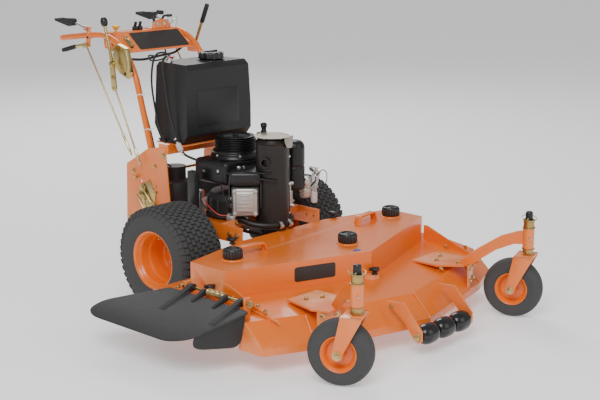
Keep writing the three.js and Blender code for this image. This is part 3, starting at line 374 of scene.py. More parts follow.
# ------------------------------------------------------------------ mesh making
def smooth_path(points: Sequence[Point], steps: int = 6) -> list[Vector]:
    """Runs a rounded path through the points.

    Args:
        points: places that the path goes through.
        steps: pieces between two places.

    Returns:
        The places along the path.
    """
    knots = [Vector(p) for p in points]
    ends = [knots[0] * 2 - knots[1], *knots, knots[-1] * 2 - knots[-2]]
    path: list[Vector] = []
    for a, b, c, d in zip(ends, ends[1:], ends[2:], ends[3:]):
        for k in range(steps):
            t = k / steps
            path.append(0.5 * (2 * b + (c - a) * t + (2 * a - 5 * b + 4 * c - d) * t * t
                               + (3 * b - 3 * c + d - a) * t ** 3))
    return [*path, knots[-1]]


def rounded(profile: Sequence[Pair], radius: float, steps: int = 4) -> list[Pair]:
    """Rounds the inner corners of an open profile.

    Args:
        profile: radius and height pairs.
        radius: how far from each corner the rounding starts.
        steps: pieces in each rounding.

    Returns:
        The profile with its corners rounded.
    """
    points = [Vector(p) for p in profile]
    made = [points[0]]
    for before, corner, after in zip(points, points[1:], points[2:]):
        back = min(radius, (before - corner).length * 0.45)
        ahead = min(radius, (after - corner).length * 0.45)
        start = corner + (before - corner).normalized() * back
        end = corner + (after - corner).normalized() * ahead
        for k in range(steps + 1):
            t = k / steps
            made.append((1 - t) ** 2 * start + 2 * t * (1 - t) * corner + t * t * end)
    made.append(points[-1])
    return [(p.x, p.y) for p in made]


UPRIGHT = Matrix.Rotation(math.pi / 2, 4, "X")


def spin(degrees: float, axis: str = "Z") -> Matrix:
    """Turns by an angle about one axis of the frame."""
    return Matrix.Rotation(math.radians(degrees), 4, axis)


def hoop(inner: float, outer: float, half: float) -> list[Pair]:
    """Lists the section of a plain ring, for a lathe."""
    return [(inner, -half), (outer, -half), (outer, half), (inner, half), (inner, -half)]


def facing(axis: Sequence[float]) -> Matrix:
    """Turns local +Z to an axis: returns the rotation."""
    return Vector(axis).to_track_quat("Z", "Y").to_matrix().to_4x4()


class Shape:
    """A mesh in the making, in millimetres of the design frame."""

    def __init__(self) -> None:
        """Starts empty."""
        self.bm = bmesh.new()

    def move(self, verts: Iterable, matrix: Matrix) -> None:
        """Applies a placement to some vertices."""
        bmesh.ops.transform(self.bm, matrix=matrix, verts=list(verts))

    def soften(self, verts: Iterable, width: float, segments: int = 2, least: float = 0.5) -> None:
        """Bevels the sharp edges between some vertices.

        Args:
            verts: vertices whose edges are beveled.
            width: width of the bevel.
            segments: faces across it.
            least: smallest angle in radians that counts as sharp.
        """
        if width <= 0:
            return
        kept = set(verts)
        edges = [e for e in self.bm.edges if e.verts[0] in kept and e.verts[1] in kept
                 and len(e.link_faces) == 2 and e.calc_face_angle(0.0) > least]
        bmesh.ops.bevel(self.bm, geom=edges, offset=width, offset_type="OFFSET", affect="EDGES",
                        segments=segments, profile=0.5, material=-1, clamp_overlap=True)

    def box(self, size: Point, centre: Point, turn: Optional[Matrix] = None, edge: float = 1.5,
            segments: int = 2) -> "Shape":
        """Adds a block with softened edges.

        Args:
            size: its three sides.
            centre: its middle.
            turn: rotation about the middle.
            edge: width of the edge rounding.
            segments: faces across each rounding.

        Returns:
            This shape.
        """
        made = bmesh.ops.create_cube(self.bm, size=1.0)["verts"]
        self.move(made, Matrix.Diagonal((*size, 1.0)))
        keep = set(self.bm.verts) - set(made)
        self.soften(made, edge, segments)
        fresh = set(self.bm.verts) - keep
        self.move(fresh, Matrix.Translation(centre) @ (turn or Matrix()))
        return self

    def rod(self, a: Point, b: Point, radius: float, sides: int = 24, edge: float = 0.8,
            tip: Optional[float] = None) -> "Shape":
        """Adds a round or hexagonal bar between two points.

        Args:
            a: one end's middle.
            b: the other end's middle.
            radius: radius at the first end.
            sides: facets around it.
            edge: rounding of its ends.
            tip: radius at the second end, or none for the same.

        Returns:
            This shape.
        """
        start, span = Vector(a), Vector(b) - Vector(a)
        keep = set(self.bm.verts)
        made = bmesh.ops.create_cone(self.bm, cap_ends=True, segments=sides, radius1=radius,
                                     radius2=radius if tip is None else tip, depth=span.length)["verts"]
        self.soften(made, edge, 2, 1.2)
        fresh = set(self.bm.verts) - keep
        self.move(fresh, Matrix.Translation(start + span / 2) @ facing(span))
        return self

    def lathe(self, profile: Sequence[Pair], origin: Point = (0, 0, 0), axis: Point = (0, 0, 1),
              sides: int = 48) -> "Shape":
        """Adds a turned piece.

        Args:
            profile: radius and height along the axis, one after another.
            origin: where height 0 lies.
            axis: direction that height grows in.
            sides: facets around it.

        Returns:
            This shape.
        """
        keep = set(self.bm.verts)
        line = [self.bm.verts.new((radius, 0.0, height)) for radius, height in profile]
        edges = [self.bm.edges.new(pair) for pair in zip(line, line[1:])]
        bmesh.ops.spin(self.bm, geom=[*line, *edges], cent=(0, 0, 0), axis=(0, 0, 1), angle=2 * math.pi,
                       steps=sides, use_merge=True)
        fresh = [v for v in self.bm.verts if v not in keep]
        bmesh.ops.remove_doubles(self.bm, verts=fresh, dist=0.01)
        fresh = [v for v in self.bm.verts if v not in keep]
        faces = {f for v in fresh for f in v.link_faces}
        bmesh.ops.recalc_face_normals(self.bm, faces=list(faces))
        self.move(fresh, Matrix.Translation(origin) @ facing(axis))
        return self

    def prism(self, outline: Sequence[Pair], thickness: float, place: Matrix, edge: float = 1.2,
              segments: int = 2) -> "Shape":
        """Adds a plate from its outline in local XY, thick along local +Z.

        Args:
            outline: corners in order.
            thickness: the plate's thickness.
            place: where the plate goes.
            edge: width of its edge rounding.
            segments: faces across each rounding.

        Returns:
            This shape.
        """
        keep = set(self.bm.verts)
        corners = [self.bm.verts.new((x, y, 0.0)) for x, y in outline]
        face = self.bm.faces.new(corners)
        grown = bmesh.ops.extrude_face_region(self.bm, geom=[face])["geom"]
        top = [g for g in grown if isinstance(g, bmesh.types.BMVert)]
        bmesh.ops.translate(self.bm, verts=top, vec=(0, 0, thickness))
        fresh = [v for v in self.bm.verts if v not in keep]
        bmesh.ops.recalc_face_normals(self.bm, faces=list({f for v in fresh for f in v.link_faces}))
        self.soften(fresh, edge, segments)
        fresh = [v for v in self.bm.verts if v not in keep]
        self.move(fresh, place)
        return self

    def tube(self, path: Sequence, radius: float, sides: int = 12) -> "Shape":
        """Adds a round bar along a path, closed at both ends.

        Args:
            path: places along its middle.
            radius: its radius.
            sides: facets around it.

        Returns:
            This shape.
        """
        line = [Vector(p) for p in path]
        last = len(line) - 1
        heads = [(line[min(k + 1, last)] - line[max(k - 1, 0)]).normalized() for k in range(len(line))]
        keep = set(self.bm.verts)
        made = bmesh.ops.create_circle(self.bm, cap_ends=True, segments=sides, radius=radius)["verts"]
        self.move(made, Matrix.Translation(line[0]) @ facing(heads[0]))
        edges = list({e for v in made for e in v.link_edges})
        for k in range(1, len(line)):
            grown = bmesh.ops.extrude_edge_only(self.bm, edges=edges)["geom"]
            ring = [g for g in grown if isinstance(g, bmesh.types.BMVert)]
            turn = heads[k - 1].rotation_difference(heads[k]).to_matrix().to_4x4()
            self.move(ring, Matrix.Translation(line[k]) @ turn @ Matrix.Translation(-line[k - 1]))
            inside = set(ring)
            edges = [g for g in grown if isinstance(g, bmesh.types.BMEdge) and set(g.verts) <= inside]
        bmesh.ops.edgeloop_fill(self.bm, edges=edges)
        fresh = [v for v in self.bm.verts if v not in keep]
        bmesh.ops.recalc_face_normals(self.bm, faces=list({f for v in fresh for f in v.link_faces}))
        return self

    def repeat(self, build: Callable[["Shape"], object], count: int, origin: Point, axis: Point,
               turn: float = 2 * math.pi) -> "Shape":
        """Builds something once and copies it round an axis.

        Args:
            build: adds the first copy to this shape.
            count: how many copies there are.
            origin: a point on the axis.
            axis: direction of the axis.
            turn: angle that the copies share out.

        Returns:
            This shape.
        """
        keep = set(self.bm.verts)
        build(self)
        fresh = [v for v in self.bm.verts if v not in keep]
        geom = [*fresh, *{e for v in fresh for e in v.link_edges}, *{f for v in fresh for f in v.link_faces}]
        bmesh.ops.spin(self.bm, geom=geom, cent=origin, axis=axis, angle=turn * (count - 1) / count,
                       steps=count - 1, use_duplicate=True)
        return self

    def bolt(self, at: Point, axis: Point, radius: float = 9.0, washer: bool = True) -> "Shape":
        """Adds a hexagon head on a washer.

        Args:
            at: middle of the seat.
            axis: direction that the head stands in.
            radius: half the width across its corners.
            washer: whether a washer lies below it.

        Returns:
            This shape.
        """
        seat, out = Vector(at), Vector(axis).normalized()
        if washer:
            self.lathe([(0, 0), (radius * 1.25, 0), (radius * 1.25, radius * 0.22), (0, radius * 0.22)],
                       tuple(seat), tuple(out), 24)
        base = seat + out * radius * 0.2
        self.rod(tuple(base), tuple(base + out * radius * 0.75), radius, 6, radius * 0.12)
        return self.rod(tuple(base), tuple(base + out * radius * 1.05), radius * 0.45, 12, 0.3)


# YZ lays an outline's x, y along Y, Z and its thickness along X; UPRIGHT lays its x, y along X, Z.
YZ = Matrix(((0, 0, 1, 0), (1, 0, 0, 0), (0, 1, 0, 0), (0, 0, 0, 1)))


def flat_yz(at: float) -> Matrix:
    """Places a plate's outline in the YZ plane at one X."""
    return Matrix.Translation((at, 0, 0)) @ YZ


def flat_xy(at: float) -> Matrix:
    """Places a plate's outline in the XY plane at one Z."""
    return Matrix.Translation((0, 0, at))


@dataclass(frozen=True)
class Link:
    """Where a piece that starts on one body ends on another."""

    body: str
    start: Point
    end: Point


class Workshop:
    """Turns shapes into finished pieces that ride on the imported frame."""

    def __init__(self) -> None:
        """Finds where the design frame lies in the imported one."""
        low_r, high_r = (Vector(v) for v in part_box("drive_rim_right"))
        low_l, high_l = (Vector(v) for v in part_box("drive_rim_left"))
        middle = (low_r + high_r + low_l + high_l) / 4
        axle_y = 0.035
        self.shift = Vector((middle.x, middle.y - axle_y, 0.0))
        self.place = Matrix.Translation(self.shift) @ Matrix.Scale(0.001, 4)

    def point(self, at: Point) -> Vector:
        """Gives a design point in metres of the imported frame."""
        return self.place @ Vector(at)

    def piece(self, name: str, shape: Shape, finish: Finish, body: str, replaces: Sequence[str] = (),
              crease: float = 38.0, link: Optional["Link"] = None) -> bpy.types.Object:
        """Makes the shape a piece of the object.

        Args:
            name: the piece's name.
            shape: its mesh.
            finish: its surface.
            body: body that it rides on.
            replaces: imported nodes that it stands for.
            crease: angle in degrees above which an edge stays sharp.
            link: the other end of a piece that runs between two bodies.

        Returns:
            The new object.
        """
        bm = shape.bm
        bmesh.ops.transform(bm, matrix=self.place, verts=bm.verts[:])
        mesh = bpy.data.meshes.new(name)
        bm.to_mesh(mesh)
        bm.free()
        mesh.materials.append(finish.material())
        mesh.polygons.foreach_set("use_smooth", [True] * len(mesh.polygons))
        mesh.set_sharp_from_angle(angle=math.radians(crease))
        made = bpy.data.objects.new(name, mesh)
        bpy.context.scene.collection.objects.link(made)
        if link:
            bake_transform(made)
        else:
            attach(made, body)
        for packed in replaces:
            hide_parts(packed)
        log.info("%s on %s: %d faces", name, body, len(mesh.polygons))
        return made

    def copy_of(self, node_name: str) -> Shape:
        """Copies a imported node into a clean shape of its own.

        Args:
            node_name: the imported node.

        Returns:
            The shape, with its flat faces joined.
        """
        shape = Shape()
        shape.bm.from_mesh(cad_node(node_name).data)
        bmesh.ops.remove_doubles(shape.bm, verts=shape.bm.verts[:], dist=1e-5)
        bmesh.ops.dissolve_limit(shape.bm, angle_limit=math.radians(1.0), verts=shape.bm.verts[:],
                                 edges=shape.bm.edges[:])
        bmesh.ops.transform(shape.bm, matrix=self.place.inverted(), verts=shape.bm.verts[:])
        return shape

    def refine(self, node_name: str, finish: Finish, body: str, width: float = 2.0, angle: float = 35.0,
               segments: int = 2) -> bpy.types.Object:
        """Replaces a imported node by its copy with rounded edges.

        Args:
            node_name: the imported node.
            finish: its surface.
            body: body that it rides on.
            width: rounding in millimetres.
            angle: smallest edge angle in degrees that is rounded.
            segments: faces across each rounding.

        Returns:
            The new piece.
        """
        made = self.piece(node_name + "_shell", self.copy_of(node_name), finish, body, (node_name,), angle)
        soft = made.modifiers.new("soft_edges", "BEVEL")
        soft.width = width / 1000
        soft.segments = segments
        soft.limit_method = "ANGLE"
        soft.angle_limit = math.radians(angle)
        soft.harden_normals = True
        return made

    def dress(self, node_name: str, finish: Finish) -> None:
        """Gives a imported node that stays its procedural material."""
        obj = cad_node(node_name)
        for slot in obj.material_slots:
            slot.material = finish.material()


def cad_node(name: str) -> bpy.types.Object:
    """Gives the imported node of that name."""
    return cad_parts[name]


# ------------------------------------------------------------------ wheels
@dataclass
class DriveWheel:
    """A turf tyre on its deep-dished steel rim."""

    side: str
    sign: int
    track: float = 388.0
    axle_y: float = 35.0
    axle_z: float = 227.5
    tread_radius: float = 227.2
    carcass_radius: float = 219.5
    half_width: float = 112.0
    bead_radius: float = 119.0
    rows: tuple[float, ...] = (-88.0, -66.0, -44.0, -22.0, 0.0, 22.0, 44.0, 66.0, 88.0)
    blocks: int = 46
    lugs: int = 5

    @property
    def hub(self) -> Point:
        """Middle of the wheel."""
        return (self.sign * self.track, self.axle_y, self.axle_z)

    @property
    def outward(self) -> Point:
        """Direction away from the machine."""
        return (float(self.sign), 0.0, 0.0)

    def tyre(self) -> Shape:
        """Shapes the carcass and its tread blocks.

        Returns:
            The shape.
        """
        w, crown, bead = self.half_width, self.carcass_radius, self.bead_radius
        half = [(bead, w - 22), (bead + 7, w - 9), (bead + 22, w - 3), (bead + 26, w - 1), (bead + 29, w - 3),
                (160, w - 1), (185, w), (203, w - 5), (crown - 5, w - 16), (crown, w - 32)]
        ring = [*[(r, -x) for r, x in half], *[(r, x) for r, x in reversed(half)], (bead, -w + 22)]
        shape = Shape().lathe(rounded(ring, 9, 3), self.hub, self.outward, 96)
        x0, y0, z0 = self.hub
        tall = self.tread_radius - crown + 3
        pitch = 360.0 / self.blocks
        for k, offset in enumerate(self.rows):
            wide, long = 18.5, 23.0
            edge_row = abs(offset) > 80
            lean = math.radians(14 if k % 2 else -14)

            def block(s: Shape, offset: float = offset, wide: float = wide, k: int = k,
                      edge_row: bool = edge_row, lean: float = lean) -> None:
                """Adds one tread block at the top of the tyre."""
                drop = 2.2 if edge_row else 0.0
                tilt = Matrix.Rotation(math.radians(9 * (1 if offset > 0 else -1)) if edge_row else 0.0, 4,
                                       "Y")
                turn = spin(pitch / 2 * (k % 2), "X")
                made = Shape()
                made.box((wide, long, tall), (0, 0, 0), tilt @ Matrix.Rotation(lean, 4, "Z"), 1.4, 1)
                made.move(made.bm.verts, Matrix.Translation((x0, y0, z0)) @ turn
                           @ Matrix.Translation((offset, 0, crown + tall / 2 - 3 - drop)))
                mesh = bpy.data.meshes.new("block")
                made.bm.to_mesh(mesh)
                s.bm.from_mesh(mesh)
                bpy.data.meshes.remove(mesh)

            shape.repeat(block, self.blocks, self.hub, (1, 0, 0))
        return shape

    def shoulder(self) -> Shape:
        """Shapes the lugs that run from the tread down both shoulders.

        Returns:
            The shape.
        """
        shape = Shape()
        x0, y0, z0 = self.hub
        for flip in (-1, 1):
            tilt = spin(52 * flip, "Y")

            def lug(s: Shape, flip: int = flip, tilt: Matrix = tilt) -> None:
                """Adds one shoulder lug."""
                s.box((22, 16, 6), (x0 + flip * 104, y0, z0 + 207), tilt, 1.4, 1)

            shape.repeat(lug, self.blocks, self.hub, (1, 0, 0))
        return shape

    def rim(self) -> Shape:
        """Shapes the dished rim with its hub.

        Returns:
            The shape.
        """
        b = self.bead_radius
        face = [(0, -24), (30, -24), (36, -30), (64, -30), (74, -38), (88, -36), (93, -22), (95, 30),
                (101, 42), (104, 76), (b - 9, 84), (b - 3, 96), (b + 6, 103), (b + 9, 100), (b + 3, 92),
                (b, 84)]
        back = [(b, -84), (b + 3, -92), (b + 9, -100), (b + 6, -103), (b - 3, -96), (b - 9, -84), (104, -76),
                (100, -46), (38, -44), (38, -70), (0, -70)]
        return Shape().lathe(rounded([*face, *back], 4, 3), self.hub, self.outward, 80)

    def fasteners(self) -> Shape:
        """Shapes the lug bolts, the hub nut and the valve.

        Returns:
            The shape.
        """
        x0, y0, z0 = self.hub
        seat = x0 - self.sign * 30
        shape = Shape()

        def lug(s: Shape) -> None:
            """Adds one lug bolt."""
            s.bolt((seat, y0, z0 + 50), self.outward, 9)

        shape.repeat(lug, self.lugs, (seat, y0, z0), (1, 0, 0))
        shape.bolt((x0 - self.sign * 24, y0, z0), self.outward, 17)
        valve = Vector((x0 + self.sign * 40, y0, z0 + 97))
        return shape.rod(tuple(valve), tuple(valve + Vector((self.sign * 26, 0, -10))), 4, 12)

    def build(self, shop: Workshop) -> None:
        """Makes the wheel's pieces."""
        body = f"drive_wheel_{self.side}"
        tag = f"drive_{self.side}"
        shop.piece(f"{tag}_turf_tyre", self.tyre(), TYRE, body, (f"drive_tyre_{self.side}",), 30)
        shop.piece(f"{tag}_shoulder_lugs", self.shoulder(), TYRE, body, (), 30)
        shop.piece(f"{tag}_dished_rim", self.rim(), ORANGE, body, (f"drive_rim_{self.side}",), 30)
        shop.piece(f"{tag}_lug_bolts", self.fasteners(), ZINC, body)


@dataclass
class Caster:
    """A front caster: its fork, post fittings, rim and smooth tyre."""

    side: str
    sign: int
    yaw: float
    post_x: float = 545.0
    post_y: float = -1160.0
    trail: float = 58.0
    axle_z: float = 125.07
    tyre_radius: float = 124.9
    half_width: float = 41.0
    bead_radius: float = 66.0

    @property
    def post(self) -> Point:
        """Foot of the swivel axis."""
        return (self.sign * self.post_x, self.post_y, 0.0)

    def at(self, x: float, y: float, z: float) -> Point:
        """Turns a place of the caster's own frame by its yaw."""
        turn = spin(self.yaw)
        moved = turn @ Vector((x, y, z)) + Vector(self.post)
        return (moved.x, moved.y, moved.z)

    @property
    def axle(self) -> Point:
        """Direction of the wheel's axle."""
        a = math.radians(self.yaw)
        return (math.cos(a), math.sin(a), 0.0)

    def tyre(self) -> Shape:
        """Shapes the smooth tyre with a moulded ring on each side."""
        w, r, b = self.half_width, self.tyre_radius, self.bead_radius
        half = [(b - 1, w - 12), (b + 3, w - 3), (b + 10, w), (b + 14, w - 2), (b + 30, w), (r - 20, w - 1),
                (r - 7, w - 9), (r - 1, w - 22), (r, w - 30)]
        ring = [*[(q, -x) for q, x in half], *[(q, x) for q, x in reversed(half)], (b - 1, -w + 12)]
        return Shape().lathe(rounded(ring, 7, 4), self.at(0, self.trail, self.axle_z), self.axle, 96)

    def rim(self) -> Shape:
        """Shapes the dished rim with its axle hub."""
        w, b = self.half_width, self.bead_radius
        half = [(9.5, w + 3), (19, w + 3), (21, w), (22, 7), (48, 6), (54, 12), (56, w - 12), (b - 3, w - 5),
                (b + 1, w), (b + 4, w - 2), (b, w - 9)]
        ring = [*[(q, -x) for q, x in half], *[(q, x) for q, x in reversed(half)], (9.5, -w - 3)]
        return Shape().lathe(rounded(ring, 2.5, 3), self.at(0, self.trail, self.axle_z), self.axle, 64)

    def bushes(self) -> Shape:
        """Shapes the two bronze bushes and their collars."""
        foot = self.post
        low = [(16, 271), (23, 271), (25, 274), (25, 279), (22.5, 281), (22.5, 297), (27, 298), (27, 300.6),
               (16, 300.6)]
        high = [(16, 386.6), (27, 386.6), (27, 390), (22.5, 391), (22.5, 419), (25, 420), (25, 424),
                (16, 424)]
        shape = Shape().lathe([*low, low[0]], foot, (0, 0, 1), 40)
        shape.lathe([*high, high[0]], foot, (0, 0, 1), 40)
        for z in (282.5, 295, 394, 416):
            shape.lathe([(22, z - 1), (24, z - 1), (24, z + 1), (22, z + 1), (22, z - 1)], foot, (0, 0, 1),
                        40)
        return shape

    def ring_clip(self) -> Shape:
        """Shapes the quick pin with its wire ring below the post's tip."""
        x, y, _ = self.post
        shape = Shape().rod(self.at(-26, 0, 430), self.at(26, 0, 430), 3.5, 12)
        loop = [(x + 31 * math.cos(t), y + 31 * math.sin(t), 430 + 6 * math.sin(t + 0.6))
                for t in (2 * math.pi * k / 36 for k in range(36))]
        return shape.tube([*loop, loop[0]], 1.8, 8)

    def tip(self) -> Shape:
        """Shapes the post's black tip."""
        return Shape().lathe(rounded([(0, 424), (16, 424), (16, 430), (15.2, 432), (15.2, 452), (12, 458),
                                      (0, 458)], 2, 3),
                             self.post, (0, 0, 1), 32)

    def bolts(self) -> Shape:
        """Shapes the axle bolt's head, nut and washers."""
        reach = self.half_width + 15.5
        out = Vector(self.axle)
        shape = Shape()
        for flip in (-1, 1):
            shape.bolt(self.at(flip * reach, self.trail, self.axle_z), tuple(out * flip), 13)
        return shape

    def fork(self) -> Shape:
        """Shapes the fork: a crown plate with two swept, tapering legs."""
        inner = self.half_width + 7
        leg = [(-30, 272), (-31, 262), (self.trail - 21, self.axle_z + 6),
               (self.trail - 17, self.axle_z - 14), (self.trail, self.axle_z - 21),
               (self.trail + 17, self.axle_z - 14), (self.trail + 21, self.axle_z + 6), (50, 262), (48, 272)]
        shape = Shape()
        for flip in (-1, 1):
            shape.prism(leg, 8, flat_yz(flip * (inner + 4) - 4), 2.0)
        plate = [(-30, -inner - 8), (50, -inner - 8), (50, inner + 8), (-30, inner + 8)]
        shape.prism([(y, x) for x, y in plate], 9, flat_xy(263), 2.5)
        for flip in (-1, 1):
            shape.prism([(-24, 0), (40, 0), (30, 14), (-14, 14)], 8,
                        Matrix.Translation((flip * (inner - 8) - 4, 0, 250)) @ YZ, 1.5)
        shape.rod((0, 0, 268), (0, 0, 273), 30, 32, 1)
        shape.move(shape.bm.verts, Matrix.Translation(self.post) @ spin(self.yaw))
        return shape

    def grease_nipple(self) -> Shape:
        """Shapes the grease nipple on the arm's sleeve."""
        x, y, _ = self.post
        base = Vector((x - 17, y - 17, 344))
        out = Vector((-1, -1, 0.2)).normalized()
        shape = Shape().rod(tuple(base), tuple(base + out * 8), 5, 6, 0.5)
        return shape.lathe([(0, 8), (3, 8), (3, 12), (4, 14), (3, 17), (0, 18)], tuple(base), tuple(out), 16)

    def build(self, shop: Workshop) -> None:
        """Makes the caster's pieces."""
        swivel, wheel = f"caster_fork_{self.side}", f"caster_wheel_{self.side}"
        tag = f"caster_{self.side}"
        shop.piece(f"{tag}_smooth_tyre", self.tyre(), TYRE, wheel, (f"caster_tyre_{self.side}",), 50)
        shop.piece(f"{tag}_dished_rim", self.rim(), ORANGE, wheel, (f"caster_rim_{self.side}",), 34)
        shop.piece(f"{tag}_swept_fork", self.fork(), ORANGE, swivel, (swivel,))
        shop.piece(f"{tag}_bushes", self.bushes(), BRONZE, swivel)
        shop.piece(f"{tag}_post_tip", self.tip(), PLASTIC, swivel)
        shop.piece(f"{tag}_ring_clip", self.ring_clip(), ZINC, swivel)
        shop.piece(f"{tag}_axle_bolts", self.bolts(), ZINC, swivel)
        shop.piece(f"{tag}_grease_nipple", self.grease_nipple(), BRIGHT, "chassis")
        arm = shop.refine(f"caster_arm_{self.side}", ORANGE, "chassis", 3.0, 30.0, 3)
        log.info("%s has %d faces before its rounding", arm.name, len(arm.data.polygons))
        self.foot(shop)

    def foot(self, shop: Workshop) -> None:
        """Makes the plate that hangs from the arm's foot, with the foot's bolts."""
        s = self.sign
        heading = math.atan2(-0.914, s * 0.406)
        turn = Matrix.Rotation(heading, 4, "Z")
        base = Vector((s * 414, -861, 0))
        drop = base + turn @ Vector((84, 0, 164))
        shape = Shape().box((6, 100, 96), tuple(drop), turn, 1.5)
        shop.piece(f"caster_{self.side}_foot_plate", shape, ORANGE, "chassis")
        bolts = Shape()
        for x, y in ((-56, -34), (-56, 34), (40, -s * 40)):
            at = base + turn @ Vector((x, y, 220.5))
            bolts.bolt(tuple(at), (0, 0, 1), 9)
        out = tuple(turn @ Vector((1, 0, 0)))
        for y, z in ((-30, 196), (30, 196), (-30, 142), (30, 142)):
            at = base + turn @ Vector((87.5, y, z))
            bolts.bolt(tuple(at), out, 8)
        shop.piece(f"caster_{self.side}_foot_bolts", bolts, ZINC, "chassis")


# ------------------------------------------------------------------ deck and cover
@dataclass
class Deck:
    """The cutter deck with its welds, the belt cover, its knobs, caps and straps."""

    top: float = 212.0
    cover_top: float = 322.0
    cap_radius: float = 39.0
    cap_height: float = 41.0
    caps: dict[str, Pair] = field(default_factory=lambda: {
        "right": (-468.0, -437.0), "middle": (30.0, -608.0), "left": (516.0, -440.0)})
    knobs: dict[str, Point] = field(default_factory=lambda: {
        "rear_right": (-315.0, -272.0, 322.0), "rear_left": (315.0, -272.0, 322.0),
        "front": (-14.0, -795.0, 232.0), "corner": (-636.0, -485.0, 232.0)})

    def cap(self, at: Pair) -> Shape:
        """Shapes one ribbed spindle cap.

        Args:
            at: its middle on the cover.

        Returns:
            The shape.
        """
        r, h = self.cap_radius, self.cap_height
        foot = (*at, self.cover_top + 4)
        profile = rounded([(0, 0), (r - 2, 0), (r, 2), (r, h - 8), (r - 3, h - 2), (r - 9, h),
                           (r - 13, h - 2), (r - 15, h - 6), (12, h - 6), (8, h - 3), (0, h - 3)], 2, 2)
        shape = Shape().lathe(profile, foot, (0, 0, 1), 60)

        def rib(s: Shape) -> None:
            """Adds one grip rib."""
            s.box((3.4, 5.5, h - 12), (foot[0] + r, foot[1], foot[2] + h / 2 - 2), None, 1.2, 1)

        return shape.repeat(rib, 20, foot, (0, 0, 1))

    def collar(self, at: Pair) -> Shape:
        """Shapes the raised collar below a cap."""
        r = self.cap_radius
        return Shape().lathe(rounded([(0, -1), (r + 9, -1), (r + 6, 4), (r - 1, 5), (0, 5)], 2, 2),
                             (*at, self.cover_top), (0, 0, 1), 60)

    def strap(self, x: float, y: float, heading: float) -> Shape:
        """Shapes a flat lifting strap with feet.

        Args:
            x: its middle.
            y: its middle.
            heading: direction in degrees that it runs in.

        Returns:
            The shape.
        """
        outline = rounded([(-84, 0), (-70, 0), (-58, 32), (-50, 38), (50, 38), (58, 32), (70, 0), (84, 0),
                           (84, 7), (74, 7), (63, 38), (54, 46), (-54, 46), (-63, 38), (-74, 7), (-84, 7)],
                          4, 2)
        upright = UPRIGHT
        shape = Shape().prism(outline, 30, Matrix.Translation((0, 15, 0)) @ upright, 1.4)
        shape.move(shape.bm.verts, Matrix.Translation((x, y, self.cover_top - 7))
                    @ spin(heading))
        return shape

    def knob(self, at: Point) -> Shape:
        """Shapes a three-armed hand knob on its collar.

        Args:
            at: its seat.

        Returns:
            The shape.
        """
        x, y, z = at
        shape = Shape().lathe(rounded([(0, 1), (13, 1), (13, 5), (9, 8), (9, 13), (17, 16), (18, 24),
                                       (14, 29), (6, 31), (0, 31)], 2, 3), at, (0, 0, 1), 32)

        def arm(s: Shape) -> None:
            """Adds one arm of the knob."""
            s.box((20, 12, 14), (x + 14.5, y, z + 22), None, 4.5, 3)

        return shape.repeat(arm, 3, at, (0, 0, 1))

    def welds(self) -> Shape:
        """Shapes the weld beads along the deck's folds and ribs."""
        shape = Shape()
        runs = [
            [(0, -1073, 109), (0, -1030, 150), (0, -988, 191)],
            [(-524, -936, 109), (-512, -905, 140), (-494, -860, 188)],
            [(524, -936, 109), (512, -905, 140), (494, -860, 188)],
            [(-626, -560, 213), (-626, -700, 206), (-626, -840, 190)],
            [(630, -560, 213), (630, -700, 206), (630, -840, 190)],
        ]
        for points in runs:
            shape.tube(smooth_path(points, 8), 3.0, 8)
        return shape

    def bolts(self) -> Shape:
        """Shapes the deck's and the cover's bolts."""
        shape = Shape()
        for sign in (-1, 1):
            for x, y in ((640, -300), (660, -360), (300, -895), (590, -700)):
                shape.bolt((sign * x, y, self.top if y > -750 else 207), (0, 0, 1), 8)
            for y in (-600, -780):
                shape.bolt((sign * 626, y, 233 if y > -700 else 216), (sign, 0, 0), 8)
        return shape

    def build(self, shop: Workshop) -> None:
        """Makes the deck's pieces."""
        shop.refine("deck_shell", ORANGE, "chassis", 2.4, 14.0, 2)
        shop.refine("belt_cover", ORANGE, "chassis", 3.0, 30.0, 3)
        shop.piece("deck_welds", self.welds(), ORANGE, "chassis")
        shop.piece("deck_bolts", self.bolts(), ZINC, "chassis")
        for name, at in self.caps.items():
            shop.piece(f"spindle_cap_{name}", self.cap(at), PLASTIC, "chassis")
            shop.piece(f"spindle_cap_{name}_collar", self.collar(at), ORANGE, "chassis")
        shop.piece("lifting_strap_right", self.strap(-355, -428, -8), ORANGE, "chassis")
        shop.piece("lifting_strap_left", self.strap(355, -428, 8), ORANGE, "chassis")
        for name, at in self.knobs.items():
            shop.piece(f"hand_knob_{name}", self.knob(at), PLASTIC, f"cover_knob_{name}",
                       (f"cover_knob_{name}",))
        self.plates(shop)

    def plates(self, shop: Workshop) -> None:
        """Makes the plain plates on the cover: one dark, one blue oval."""
        wall = Vector((612.0, 220.0, 0.0)).normalized()
        normal = Vector((-wall.y, -wall.x, 0.0))
        along = Vector((normal.y, -normal.x, 0.0)) * -1
        middle = Vector((-306 + 62, -765 + 220 * 0.5 - 22, 268)) + normal * 0.6
        on_wall = Matrix((
            (along.x, 0, normal.x, middle.x), (along.y, 0, normal.y, middle.y),
            (0, 1, 0, middle.z), (0, 0, 0, 1)))
        outline = rounded([(0, -30), (92, -30), (92, 30), (-92, 30), (-92, -30), (0.01, -30)], 12, 5)[:-1]
        shop.piece("cover_front_plate", Shape().prism(outline, 1.4, on_wall, 0.5, 1), PLATE_BLACK, "chassis")
        oval = [(20 * math.cos(t), 13 * math.sin(t)) for t in (2 * math.pi * k / 40 for k in range(40))]
        place = Matrix.Translation((-30, -712, self.cover_top + 0.2))
        shop.piece("cover_oval_plate", Shape().prism(oval, 1.0, place, 0.3, 1), BLUE, "chassis")


